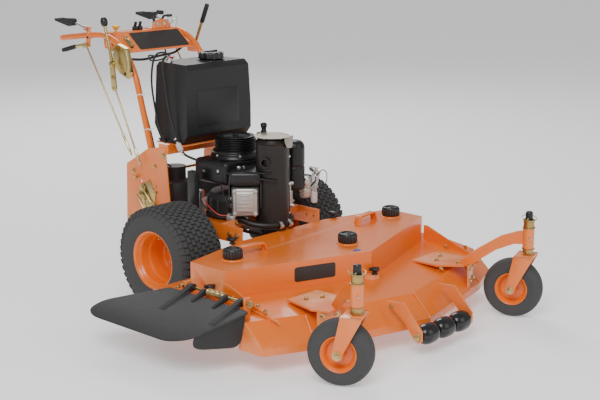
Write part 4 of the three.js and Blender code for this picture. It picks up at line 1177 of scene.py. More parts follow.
@dataclass
class Chute:
    """The moulded discharge chute with its hinge ribs, rod and spring."""

    hinge_x: float = -672.0
    hinge_z: float = 247.0
    slope: float = 18.0
    plate: float = 7.0

    def tilted(self, shape: Shape) -> Shape:
        """Carries a shape made about the hinge line to the resting chute."""
        turn = spin(-self.slope, "Y")
        shape.move(shape.bm.verts, Matrix.Translation((self.hinge_x, 0, self.hinge_z)) @ turn)
        return shape

    def sheet(self) -> Shape:
        """Shapes the sheet with its rounded corners and its front skirt."""
        plan = [(-60, -300), (-34, -330), (-36, -765), (-50, -778), (-268, -692), (-316, -610), (-316, -170),
                (-284, -114), (-215, -125), (-60, -300)]
        outline = rounded([(-45, -315), *plan[1:-1], (-45.01, -315.01)], 40, 7)[:-1]
        shape = Shape().prism(outline, self.plate, flat_xy(-self.plate), 2.8, 4)
        skirt = rounded([(-180, -2), (-276, -2), (-296, -42), (-272, -66), (-142, -122), (-112, -112),
                         (-62, -2), (-180.01, -2)], 22, 5)[:-1]
        turn = Matrix.Rotation(-math.atan2(90, 240), 4, "Z")
        upright = UPRIGHT
        place = Matrix.Translation((15, -789 + self.plate, 0)) @ turn @ upright
        return shape.prism(skirt, self.plate, place, 2.8, 4)

    def ribs(self) -> Shape:
        """Shapes two long tapering hinge ribs and two short ears."""
        shape = Shape()
        for y in (-700, -420):
            side = [(-165, 0), (-40, 0), (-12, -12), (10, -13), (15, 0), (10, 13), (-4, 16), (-60, 10),
                    (-165, 2)]
            place = Matrix.Translation((0, y + 11, 0)) @ UPRIGHT
            shape.prism(rounded([(-100, 0), *side[1:], (-100.01, 0)], 4, 2)[:-1], 22, place, 2.0)
            shape.prism([(-170, -3), (-30, -3), (-30, 3), (-170, 1)], 40, Matrix.Translation((0, y + 20, 0))
                        @ UPRIGHT, 1.5)
        for y in (-618, -500):
            side = [(-78, 0), (-18, -11), (2, -11), (7, 0), (2, 11), (-10, 16), (-78, 4)]
            place = Matrix.Translation((0, y + 7, 0)) @ UPRIGHT
            shape.prism(side, 14, place, 2.0)
        return shape

    def spring(self) -> Shape:
        """Shapes the return spring wound round the hinge rod."""
        coil = []
        turns, start, end = 13, -606.0, -512.0
        for k in range(turns * 14 + 1):
            t = 2 * math.pi * k / 14
            coil.append((self.hinge_x + 13 * math.cos(t), start + (end - start) * k / (turns * 14),
                         self.hinge_z + 13 * math.sin(t)))
        return Shape().tube(coil, 2.6, 8)

    def rod(self) -> Shape:
        """Shapes the hinge rod with a head at each end."""
        x, z = self.hinge_x, self.hinge_z
        shape = Shape().rod((x, -745, z), (x, -375, z), 6, 24)
        shape.bolt((x, -744, z), (0, -1, 0), 11)
        shape.bolt((x, -376, z), (0, 1, 0), 11)
        return shape.rod((x, -606, z), (x, -512, z), 10, 24)

    def build(self, shop: Workshop) -> None:
        """Makes the chute's pieces."""
        shop.piece("chute_sheet", self.tilted(self.sheet()), CHUTE_PLASTIC, "discharge_chute",
                   ("discharge_chute",))
        shop.piece("chute_hinge_ribs", self.tilted(self.ribs()), CHUTE_PLASTIC, "discharge_chute")
        shop.piece("chute_spring", self.spring(), ZINC, "chassis", ("chute_hinge_rod",))
        shop.piece("chute_pivot_rod", self.rod(), ZINC, "chassis")


@dataclass
class Rollers:
    """The three anti-scalp rollers between their arms."""

    y: float = -1140.0
    z: float = 84.0
    pitch: float = 102.0
    half: float = 49.0
    radius: float = 41.0

    def build(self, shop: Workshop) -> None:
        """Makes the rollers' pieces."""
        h, r = self.half, self.radius
        barrel = rounded([(8.6, -h), (19, -h), (27, -h + 4), (37, -h + 18), (r, -h + 34), (r, h - 34),
                          (37, h - 18), (27, h - 4), (19, h), (8.6, h), (8.6, -h)], 9, 4)
        for k, name in enumerate(("right", "middle", "left")):
            shape = Shape().lathe(barrel, ((k - 1) * self.pitch, self.y, self.z), (1, 0, 0), 64)
            shop.piece(f"anti_scalp_roller_{name}", shape, ROLLER_BLACK, f"roller_{name}",
                       (f"roller_{name}",), 50)
        for name in ("right", "left"):
            shop.refine(f"roller_arm_{name}", ORANGE, "chassis", 2.0, 30.0, 2)
        bolts = Shape()
        for sign in (-1, 1):
            bolts.bolt((sign * 166.5, self.y, self.z), (sign, 0, 0), 13)
            bolts.bolt((sign * 166.5, -1010, 178), (sign, 0, 0), 8)
        shop.piece("roller_bolts", bolts, ZINC, "chassis")


# ------------------------------------------------------------------ engine
@dataclass
class Engine:
    """The V-twin engine with its shroud, screen, muffler, pipes and controls."""

    x: float = 0.0
    y: float = 30.0
    seat: float = 346.3
    shroud_base: float = 520.0
    muffler_at: Pair = (-6.0, -205.0)
    muffler_radius: float = 73.0
    muffler_low: float = 332.0
    muffler_high: float = 724.0
    bank: float = 43.0
    fins: int = 11

    def crankcase(self) -> Shape:
        """Shapes the sump with its flange, ribs and oil filter."""
        s = self.seat
        sump = rounded([(19, 0), (132, 0), (140, 6), (140, 16), (132, 20), (130, 84), (112, 112), (19, 112),
                        (19, 0)], 5, 3)
        shape = Shape().lathe(sump, (self.x, self.y, s), (0, 0, 1), 48)

        def rib(t: Shape) -> None:
            """Adds one rib on the sump's wall."""
            t.box((7, 14, 74), (self.x, self.y - 132, s + 52), None, 2)

        shape.repeat(rib, 18, (self.x, self.y, s), (0, 0, 1))
        shape.lathe(rounded([(0, 0), (36, 0), (38, 4), (38, 60), (34, 68), (0, 70)], 3, 3),
                    (96, -74, s + 40), (0.6, -0.8, 0), 40)
        return shape

    def cylinder(self, heading: float) -> Shape:
        """Shapes one finned cylinder.

        Args:
            heading: its direction in degrees about the crankshaft.

        Returns:
            The shape.
        """
        z = self.seat + 108
        shape = Shape().box((84, 150, 96), (0, -148, z), None, 6)
        for k in range(self.fins):
            shape.box((118, 3.2, 126), (0, -92 - k * 12, z), None, 1.2, 1)
        shape.move(shape.bm.verts, self.aside(heading))
        return shape

    def aside(self, heading: float) -> Matrix:
        """Places one cylinder's parts, beside its neighbour on the crankshaft."""
        shift = Matrix.Translation((math.copysign(self.bank, -heading), 0, 0))
        return Matrix.Translation((self.x, self.y, 0)) @ spin(heading) @ shift

    def head_cover(self, heading: float) -> Shape:
        """Shapes one cylinder's cast head cover with its bolts."""
        z = self.seat + 108
        shape = Shape().box((108, 26, 122), (0, -232, z), None, 9, 4)
        shape.box((84, 34, 96), (0, -233, z), None, 9, 4)
        for x in (-44, 44):
            for dz in (-50, 50):
                shape.lathe([(0, 0), (10, 0), (10, 12), (8, 14), (0, 14)], (x, -240, z + dz), (0, -1, 0), 20)
                shape.bolt((x, -253, z + dz), (0, -1, 0), 6)
        for k in range(5):
            shape.box((70, 3, 3), (0, -250.5, z - 32 + k * 16), None, 1, 1)
        shape.move(shape.bm.verts, self.aside(heading))
        return shape

    def shroud(self) -> Shape:
        """Shapes the blower housing with its two cylinder hoods."""
        base = self.shroud_base
        shape = Shape().box((310, 206, 104), (0, self.y + 6, base + 41), None, 20, 5)
        for heading in (-45, 45):
            turn = self.aside(heading)
            hood = Shape().box((138, 196, 62), (0, -142, base + 34), None, 16, 4)
            hood.box((136, 8, 170), (0, -100, base - 30), None, 3)
            for x in (-68, 68):
                hood.box((6, 170, 118), (x, -146, base - 34), None, 2.5)
            hood.move(hood.bm.verts, turn)
            mesh = bpy.data.meshes.new("hood")
            hood.bm.to_mesh(mesh)
            shape.bm.from_mesh(mesh)
            bpy.data.meshes.remove(mesh)
        ring = rounded([(60, 90), (112, 90), (104, 104), (97, 110), (97, 122), (60, 122), (60, 90)], 4, 3)
        shape.lathe(ring, (0, self.y + 8, base), (0, 0, 1), 64)
        for k in range(7):
            shape.box((4, 60, 6), (-90 + k * 30, -92 + 4 * abs(k - 3), base + 66), None, 1.5)
        return shape

    def screen(self) -> Shape:
        """Shapes the finned rotating screen on top of the engine."""
        base = self.shroud_base + 122
        shape = Shape()
        for k in range(8):
            ring = rounded([(72, 0), (91, 0), (92, 1.6), (91, 3.2), (72, 3.2), (72, 0)], 0.8, 2)
            shape.lathe(ring, (0, self.y, base + 1 + k * 7.2), (0, 0, 1), 64)
        shape.lathe(rounded([(0, 2), (80, 2), (80, 57), (86, 60), (86, 63), (60, 63), (54, 59), (20, 59),
                             (16, 62), (0, 62)], 1.5, 2), (0, self.y, base), (0, 0, 1), 64)

        def spoke(t: Shape) -> None:
            """Adds one raised spoke on the screen's top."""
            t.box((5, 38, 4), (0, self.y - 38, base + 60), None, 1.2, 1)

        return shape.repeat(spoke, 16, (0, self.y, 0), (0, 0, 1))

    def muffler(self) -> Shape:
        """Shapes the canister with its seams, bracket and outlet."""
        x, y = self.muffler_at
        r, low, high = self.muffler_radius, self.muffler_low, self.muffler_high
        body = rounded([(0, low), (r - 10, low), (r - 1, low + 7), (r + 2, low + 9), (r + 2, low + 13),
                        (r - 1, low + 15), (r - 1, high - 22), (r + 2, high - 20), (r + 2, high - 16),
                        (r - 1, high - 14), (r - 10, high), (0, high + 2)], 3, 3)
        shape = Shape().lathe(body, (x, y, 0), (0, 0, 1), 64)
        shape.box((7, 16, high - low - 44), (x + r * 0.9, y - r * 0.46, (low + high) / 2),
                  Matrix.Rotation(-0.47, 4, "Z"), 2.5)
        out = rounded([(14, 0), (19, 0), (20, 34), (21, 36), (21, 40), (16, 40), (15, 4), (14, 0)], 1, 2)
        return shape.lathe(out, (x - 50, y - 12, 624), (-0.8, -0.6, 0.08), 40)

    def shield(self) -> Shape:
        """Shapes the perforated heat shield folded over the muffler."""
        x, y = self.muffler_at
        shape = Shape()
        wide, columns, limit, web = 156.0, 13, 76.0, 2.6
        grid = bmesh.ops.create_grid(shape.bm, x_segments=columns, y_segments=columns, size=0.5)["verts"]
        shape.move(grid, Matrix.Diagonal((wide, wide, 1.0, 1.0)))
        outside = [f for f in shape.bm.faces if f.calc_center_median().length > limit]
        bmesh.ops.delete(shape.bm, geom=outside, context="FACES")
        bmesh.ops.inset_individual(shape.bm, faces=shape.bm.faces[:], thickness=web)
        largest = (wide / columns - 2 * web) ** 2 * 1.05
        painted_hole_shade = [f for f in shape.bm.faces if largest * 0.9 < f.calc_area() < largest
                 and f.calc_center_median().length < limit - 13
                 and all(len(e.link_faces) == 2 for e in f.edges)]
        bmesh.ops.delete(shape.bm, geom=painted_hole_shade, context="FACES")
        bmesh.ops.solidify(shape.bm, geom=shape.bm.faces[:], thickness=1.6)
        top = self.muffler_high + 8
        shape.move(shape.bm.verts, Matrix.Translation((x, y, top)))
        shape.lathe([(limit - 5, -1), (limit + 2, -1), (limit + 2, 1.4), (limit - 5, 1.4), (limit - 5, -1)],
                    (x, y, top), (0, 0, 1), 64)
        out = Vector((0.35, -0.937, 0.0))
        across = Vector((0.937, 0.35, 0.0))
        at = Vector((x, y, top + 1)) + out * (limit + 1)
        tab = rounded([(-46, 0), (46, 0), (34, -54), (-22, -46), (-46, -18), (-46.01, 0)], 8, 4)[:-1]
        place = Matrix(((across.x, 0, out.x, at.x), (across.y, 0, out.y, at.y), (0, 1, 0, at.z),
                        (0, 0, 0, 1)))
        shape.prism(tab, 2, place, 0.8)
        return shape

    def pipes(self) -> Shape:
        """Shapes the two exhaust pipes that meet below the muffler."""
        x, y = self.muffler_at
        shape = Shape()
        for sign in (-1, 1):
            route = [(sign * 128, -66, 420), (sign * 132, -112, 382), (sign * 118, -176, 358),
                     (sign * 84, -226, 350), (x + sign * 30, y - 56, 349), (x + sign * 6, y - 62, 350)]
            shape.tube(smooth_path(route, 7), 15.5, 20)
        return shape

    def clamp(self) -> Shape:
        """Shapes the pipe clamp and the muffler's flange bolts."""
        x, y = self.muffler_at
        shape = Shape()
        ring = hoop(17, 20, 8)
        shape.lathe(ring, (x - 26, y - 61, 350), (1, 0.1, 0), 32)
        shape.lathe(ring, (x + 28, y - 60, 350), (1, 0.1, 0), 32)
        shape.bolt((x - 26, y - 82, 350), (0, -1, 0), 8)
        shape.bolt((x + 30, y - 82, 350), (0, -1, 0), 8)
        for dz in (60, 190, 310):
            shape.bolt((x + 46, y - 52, self.muffler_low + dz), (0.7, -0.7, 0), 7)
        return shape

    def air_cleaner(self) -> Shape:
        """Shapes the second canister beside the muffler with its cap."""
        body = rounded([(0, 470), (42, 470), (47, 478), (48, 570), (45, 576), (48, 582), (48, 660), (42, 678),
                        (28, 688), (0, 690)], 5, 4)
        shape = Shape().lathe(body, (150, -184, 0), (0, 0, 1), 48)
        shape.lathe(rounded([(0, 0), (12, 0), (14, 5), (10, 20), (14, 30), (15, 40), (9, 48), (0, 48)], 2, 3),
                    (32, -115, 726), (0, 0, 1), 28)
        shape.box((30, 40, 14), (34, -100, 722), None, 4, 3)
        return shape.box((60, 40, 90), (120, -130, 610), Matrix.Rotation(-0.7, 4, "Z"), 8, 3)

    def carburettor(self) -> Shape:
        """Shapes the carburettor, governor plates and levers."""
        shape = Shape()
        shape.box((46, 40, 54), (176, -176, 492), Matrix.Rotation(0.5, 4, "Z"), 5, 3)
        shape.lathe(rounded([(0, 0), (24, 0), (26, 6), (24, 40), (18, 46), (0, 46)], 3, 3),
                    (176, -176, 470), (0, 0, -1), 32)
        shape.rod((160, -210, 500), (196, -140, 500), 17, 28, 2)
        shape.box((66, 3, 46), (196, -206, 520), Matrix.Rotation(0.55, 4, "Z"), 1.2)
        shape.box((14, 3, 84), (214, -214, 500), Matrix.Rotation(0.35, 4, "Y"), 1.2)
        shape.box((3, 60, 16), (222, -186, 536), Matrix.Rotation(0.4, 4, "X"), 1.2)
        shape.rod((204, -216, 532), (236, -196, 540), 4, 12)
        shape.rod((186, -216, 476), (224, -206, 470), 5, 12)
        for at in ((184, -212, 536), (208, -214, 508), (196, -212, 484), (226, -190, 544)):
            shape.bolt(at, (0.4, -0.9, 0.1), 6)
        angles = [k * 0.6 for k in range(84)]
        spring = [(212 + 4 * math.cos(t), -222 + t * 1.1, 556 + 4 * math.sin(t)) for t in angles]
        shape.tube(spring, 1.1, 6)
        shape.move(shape.bm.verts, Matrix.Translation((28, -26, 0)))
        return shape

    def filter_bowls(self) -> Shape:
        """Shapes the two frosted fuel filter bowls."""
        profile = rounded([(0, 0), (13, 0), (15, 5), (15, 44), (12, 50), (5, 53), (5, 60), (0, 60)], 2, 3)
        shape = Shape().lathe(profile, (238, -224, 398), (0, 0, 1), 28)
        return shape.lathe(profile, (260, -200, 410), (0, 0, 1), 28)

    def starter(self) -> Shape:
        """Shapes the starter motor with its end caps and solenoid."""
        x, y, z = -168, self.y + 70, self.seat
        shape = Shape().lathe(rounded([(0, 22), (24, 22), (30, 28), (30, 44), (31, 46), (31, 106),
                                       (30, 108), (30, 120), (22, 126), (0, 126)], 2, 3), (x, y, z),
                              (0, 0, 1), 36)
        shape.rod((x - 4, y - 46, z + 40), (x - 4, y - 46, z + 100), 16, 24, 2)
        for dz in (30, 118):
            shape.bolt((x - 26, y - 12, z + dz), (-1, -0.3, 0), 6)
        shape.rod((-150, -70, 372), (-96, -150, 372), 21, 28, 3)
        shape.box((44, 30, 26), (-150, -104, 376), Matrix.Rotation(0.6, 4, "Z"), 4)
        return shape

    def bolts(self) -> Shape:
        """Shapes the bright bolts on the shroud and the block."""
        shape = Shape()
        base = self.shroud_base
        for at, out in (((-92, -86, base + 66), (-0.5, -0.9, 0)), ((-70, -94, base + 66), (-0.3, -1, 0)),
                        ((-150, -20, base + 52), (-1, 0, 0)), ((-152, 70, base + 40), (-1, 0, 0)),
                        ((-104, -160, base + 20), (-0.7, -0.7, 0)),
                        ((-104, -160, base - 24), (-0.7, -0.7, 0)),
                        ((-150, -92, base - 90), (-0.8, -0.6, 0)), ((-150, -92, base - 60), (-0.8, -0.6, 0))):
            shape.bolt(at, out, 8)
        for k in range(6):
            t = 2 * math.pi * k / 6
            shape.bolt((self.x + 104 * math.cos(t), self.y + 8 + 104 * math.sin(t), base + 104), (0, 0, 1), 6)
        for x, y in ((-120, -80), (120, -80), (-120, 140), (120, 140)):
            shape.bolt((x, y, self.seat + 16), (0, 0, 1), 10)
        return shape

    def wires(self, shop: Workshop) -> None:
        """Makes the engine's leads, loops and small hoses."""
        loops = Shape()
        loops.tube(smooth_path([(232, -240, 520), (258, -254, 548), (296, -246, 528), (304, -238, 486),
                                (280, -234, 462), (260, -232, 472)], 8), 2.0, 8)
        loops.tube(smooth_path([(-150, -30, 520), (-176, -80, 470), (-166, -120, 420), (-128, -150, 402),
                                (-100, -160, 420)], 8), 3.2, 8)
        loops.tube(smooth_path([(-186, 60, 470), (-214, 20, 430), (-196, -40, 392), (-160, -70, 380)], 8),
                   3.4, 8)
        loops.tube(smooth_path([(-150, -60, 566), (-110, -180, 560), (-76, -258, 552), (-44, -276, 548)],
                               8), 4.5, 10)
        loops.tube(smooth_path([(-156, -10, 560), (-130, -160, 585), (-84, -226, 580), (-66, -258, 584)],
                               8), 3.0, 8)
        shop.piece("engine_leads", loops, RUBBER, "chassis")
        red = Shape().tube(smooth_path([(-168, 60, 478), (-206, 10, 440), (-200, -60, 396),
                                        (-170, -96, 388)], 8), 2.6, 8)
        shop.piece("starter_lead", red, RED, "chassis")

    def build(self, shop: Workshop) -> None:
        """Makes the engine's pieces."""
        shop.piece("engine_sump", self.crankcase(), CAST, "chassis", ("crankcase",))
        for name, heading in (("right", -45.0), ("left", 45.0)):
            shop.piece(f"cylinder_{name}", self.cylinder(heading), CAST, "chassis")
            shop.piece(f"head_cover_{name}", self.head_cover(heading), ALLOY, "chassis")
        shop.piece("blower_shroud", self.shroud(), ENGINE_BLACK, "chassis", ("blower_housing",))
        shop.piece("rotating_screen", self.screen(), ENGINE_BLACK, "crankshaft")
        shop.piece("muffler_canister", self.muffler(), HOT_BLACK, "chassis", ("muffler",))
        shop.piece("muffler_heat_shield", self.shield(), SHIELD, "chassis")
        shop.piece("exhaust_pipes", self.pipes(), HOT_BLACK, "chassis")
        shop.piece("exhaust_clamps", self.clamp(), BRIGHT, "chassis")
        shop.piece("air_cleaner", self.air_cleaner(), ENGINE_BLACK, "chassis")
        shop.piece("carburettor", self.carburettor(), ALLOY, "chassis")
        shop.piece("fuel_filter_bowls", self.filter_bowls(), CLEAR, "chassis")
        shop.piece("starter_motor", self.starter(), ALLOY, "chassis")
        shop.piece("engine_bolts", self.bolts(), BRIGHT, "chassis")
        self.wires(shop)
        shop.dress("crankshaft", STEEL)


# ------------------------------------------------------------------ tank
@dataclass
class Tank:
    """The moulded fuel tank with its cap, valve, hose and filter."""

    half: float = 196.0
    front: float = 132.0
    high: float = 1020.0
    cap_at: Pair = (30.0, 215.0)
    softness_m: float = 0.014

    def panel(self) -> Shape:
        """Shapes the raised frame of the plain panel on the front."""
        outline = rounded([(0, -82), (127, -82), (127, 82), (-127, 82), (-127, -82), (0.01, -82)], 12, 4)[:-1]
        inner = rounded([(0, -76), (121, -76), (121, 76), (-121, 76), (-121, -76), (0.01, -76)], 9, 4)[:-1]
        face = Matrix.Translation((-8, self.front - 0.6, 823)) @ UPRIGHT
        shape = Shape().prism(outline, 2.4, face @ Matrix.Translation((0, 0, -1.5)), 1.0)
        return shape.prism(inner, 1.0, face @ Matrix.Translation((0, 0, 1.0)), 0.4)

    def cap(self) -> Shape:
        """Shapes the scalloped filler cap."""
        x, y = self.cap_at
        base = (x, y, self.high + 7)
        profile = rounded([(0, 0), (50, 0), (54, 4), (54, 24), (50, 30), (42, 33), (37, 30), (13, 30),
                           (11, 35), (0, 35)],
                          2, 3)
        shape = Shape().lathe(profile, base, (0, 0, 1), 64)

        def scallop(s: Shape) -> None:
            """Adds one grip of the cap's edge."""
            s.rod((x + 51, y, base[2] + 2), (x + 51, y, base[2] + 28), 7.0, 16, 1.5)

        shape.repeat(scallop, 12, base, (0, 0, 1))
        return shape.box((74, 10, 8), (x, y, base[2] + 34), None, 2.5)

    def hose(self) -> list[Vector]:
        """Gives the fuel hose's route."""
        beside = -self.half - 11
        top = self.high + 1
        return smooth_path([(-160, 280, top), (-162, 282, 1038), (-186, 278, 1046), (beside, 270, 1022),
                            (beside, 262, 960), (beside, 240, 840), (beside, 208, 740), (beside, 176, 668),
                            (-196, 150, 630), (-176, 120, 612), (-164, 96, 606)], 6)

    def build(self, shop: Workshop) -> None:
        """Makes the tank's pieces."""
        tank = shop.piece("fuel_tank_moulding", shop.copy_of("fuel_tank"), TANK_PLASTIC, "chassis",
                          ("fuel_tank",), 40)
        soft = tank.modifiers.new("soft_edges", "BEVEL")
        soft.width = self.softness_m
        soft.segments = 4
        soft.limit_method = "ANGLE"
        soft.angle_limit = math.radians(20)
        soft.harden_normals = True
        shop.piece("tank_panel", self.panel(), TANK_PLASTIC, "chassis")
        shop.piece("filler_cap", self.cap(), PLASTIC, "fuel_cap", ("fuel_cap",))
        neck = Shape().lathe(rounded([(0, -6), (62, -6), (62, 2), (58, 5), (0, 5)], 2, 3),
                             (*self.cap_at, self.high), (0, 0, 1), 48)
        shop.piece("filler_neck", neck, PLASTIC, "chassis")
        shop.piece("fuel_line", Shape().tube(self.hose(), 5.5, 16), RUBBER, "chassis", ("fuel_hose",))
        vent = smooth_path([(-120, 300, self.high + 12), (-150, 330, self.high + 40),
                            (-186, 350, self.high + 20), (-206, 350, 940), (-207, 330, 820),
                            (-206, 300, 720), (-200, 270, 664)], 6)
        shop.piece("vent_line", Shape().tube(vent, 4.5, 14), RUBBER, "chassis")
        valve = Shape().lathe(rounded([(0, 0), (13, 0), (13, 10), (9, 14), (9, 20), (0, 20)], 1.5, 2),
                              (-160, 280, self.high), (0, 0, 1), 24)
        valve.box((34, 12, 12), (-172, 280, self.high + 20), None, 2.5)
        shop.piece("fuel_valve", valve, BRIGHT, "chassis")
        lever = Shape().box((12, 34, 5), (-160, 264, self.high + 27), None, 1.8)
        shop.piece("fuel_valve_lever", lever, RED, "chassis")
        at = self.hose()
        mid = at[-18]
        along = (at[-12] - at[-24]).normalized()
        can = rounded([(0, -26), (6, -26), (7, -20), (13, -16), (14, 14), (8, 19), (6, 26), (0, 26)], 2, 3)
        shop.piece("inline_filter", Shape().lathe(can, tuple(mid), tuple(along), 28), CLEAR, "chassis")
        band = Shape()
        for k in (-40, 34):
            band.lathe(hoop(5, 7.4, 3), tuple(mid + along * k), tuple(along), 20)
        shop.piece("hose_clips", band, BRIGHT, "chassis")


# ------------------------------------------------------------------ chassis
@dataclass
class Chassis:
    """Rails, decks, wheel motors, pumps and the exposed linkage behind the engine."""

    axle_y: float = 35.0
    axle_z: float = 227.5

    def motor(self, sign: int) -> Shape:
        """Shapes one hydraulic wheel motor with its flange bolts."""
        profile = rounded([(0, 130), (40, 130), (46, 136), (46, 168), (52, 172), (52, 205), (56, 207),
                           (56, 219), (52, 221), (52, 234), (50, 247), (34, 249), (34, 317), (0, 317)], 2, 3)
        shape = Shape().lathe(profile, (0, self.axle_y, self.axle_z), (sign, 0, 0), 48)
        for k in range(4):
            t = math.pi / 4 + k * math.pi / 2
            shape.bolt((sign * 248, self.axle_y + 44 * math.cos(t), self.axle_z + 44 * math.sin(t)),
                       (sign, 0, 0), 7)
        return shape

    def linkage(self) -> Shape:
        """Shapes the return springs, cross rods and bell cranks by the pumps."""
        shape = Shape()
        for sign in (-1, 1):
            shape.rod((sign * 246, 300, 470), (sign * 150, 300, 470), 6, 20)
            shape.prism([(-14, -40), (14, -40), (20, 30), (0, 46), (-20, 30)], 5,
                        Matrix.Translation((sign * 249 - 2.5, 380, 430)) @ YZ, 1.5)
            shape.rod((sign * 256, 380, 462), (sign * 256, 300, 372), 4.5, 14)
            shape.rod((sign * 254, 340, 320), (sign * 254, 420, 420), 4.5, 14)
            shape.bolt((sign * 252, 380, 424), (sign, 0, 0), 12)
            shape.bolt((sign * 252, 340, 320), (sign, 0, 0), 14)
            coil = [(sign * 262 + 7 * math.cos(t), 300 + t * 1.15, 380 + t * 0.7 + 7 * math.sin(t))
                    for t in (k * 0.55 for k in range(150))]
            shape.tube(coil, 1.7, 7)
        return shape.rod((-262, 420, 500), (262, 420, 500), 7, 20)

    def bolts(self) -> Shape:
        """Shapes the rail bolts and the flange bolts."""
        shape = Shape()
        for sign in (-1, 1):
            for y, z, r in ((-225, 335, 9), (-180, 335, 9), (20, 320, 9), (120, 320, 9), (240, 620, 9),
                            (300, 560, 9), (450, 520, 10), (480, 300, 10), (300, 440, 9)):
                shape.bolt((sign * 240.4, y, z), (sign, 0, 0), r)
        for x in (-150, 150):
            shape.bolt((x, -128.4, 358), (0, -1, 0), 9)
        return shape

    def post(self) -> Shape:
        """Shapes the black upright beside the right rail."""
        shape = Shape().box((34, 46, 214), (-196, 96, 457), None, 5)
        return shape.box((50, 60, 8), (-196, 96, 352), None, 2)

    def flange(self) -> Shape:
        """Shapes the zinc flange plates on the rails' rear edges."""
        shape = Shape()
        for sign in (-1, 1):
            shape.prism([(-60, -70), (20, -80), (34, 60), (-20, 96), (-60, 40)], 4,
                        Matrix.Translation((sign * 243 - 2, 360, 400)) @ YZ, 1.4)
        return shape

    def build(self, shop: Workshop) -> None:
        """Makes the chassis pieces."""
        for side, sign in SIDES:
            shop.refine(f"frame_rail_{side}", ORANGE, "chassis", 1.8, 30.0, 2)
            shop.piece(f"hydraulic_motor_{side}", self.motor(sign), CAST, "chassis", (f"wheel_motor_{side}",))
        shop.refine("engine_deck", ORANGE, "chassis", 1.8)
        shop.refine("tank_shelf", ORANGE, "chassis", 1.8)
        shop.refine("hydro_pumps", CAST, "chassis", 4.0, 40.0, 3)
        shop.piece("control_linkage", self.linkage(), ZINC, "chassis")
        shop.piece("rail_bolts", self.bolts(), ZINC, "chassis")
        shop.piece("rail_flanges", self.flange(), ZINC, "chassis")
        shop.piece("black_upright", self.post(), ENGINE_BLACK, "chassis")
        lines = Shape()
        for sign in (-1, 1):
            for k in (0, 1):
                lines.tube(smooth_path([(sign * 95, 396 - 30 * k, 470), (sign * 130, 420 - 20 * k, 430),
                                        (sign * 170, 330, 380 - 30 * k), (sign * 180, 200, 330 - 20 * k),
                                        (sign * 160, 90, 290), (sign * 160, 60, 262)], 6), 8.5, 14)
        shop.piece("hydraulic_hoses", lines, RUBBER, "chassis")
        for name in ("spindle_right", "spindle_middle", "spindle_left"):
            shop.dress(name, STEEL)
        for name in ("blade_right", "blade_middle", "blade_left"):
            shop.refine(name, STEEL, name.replace("blade", "cutter"), 1.0, 40.0, 1)
        shop.dress("deck_belt", RUBBER)
        shop.dress("drive_belt", RUBBER)


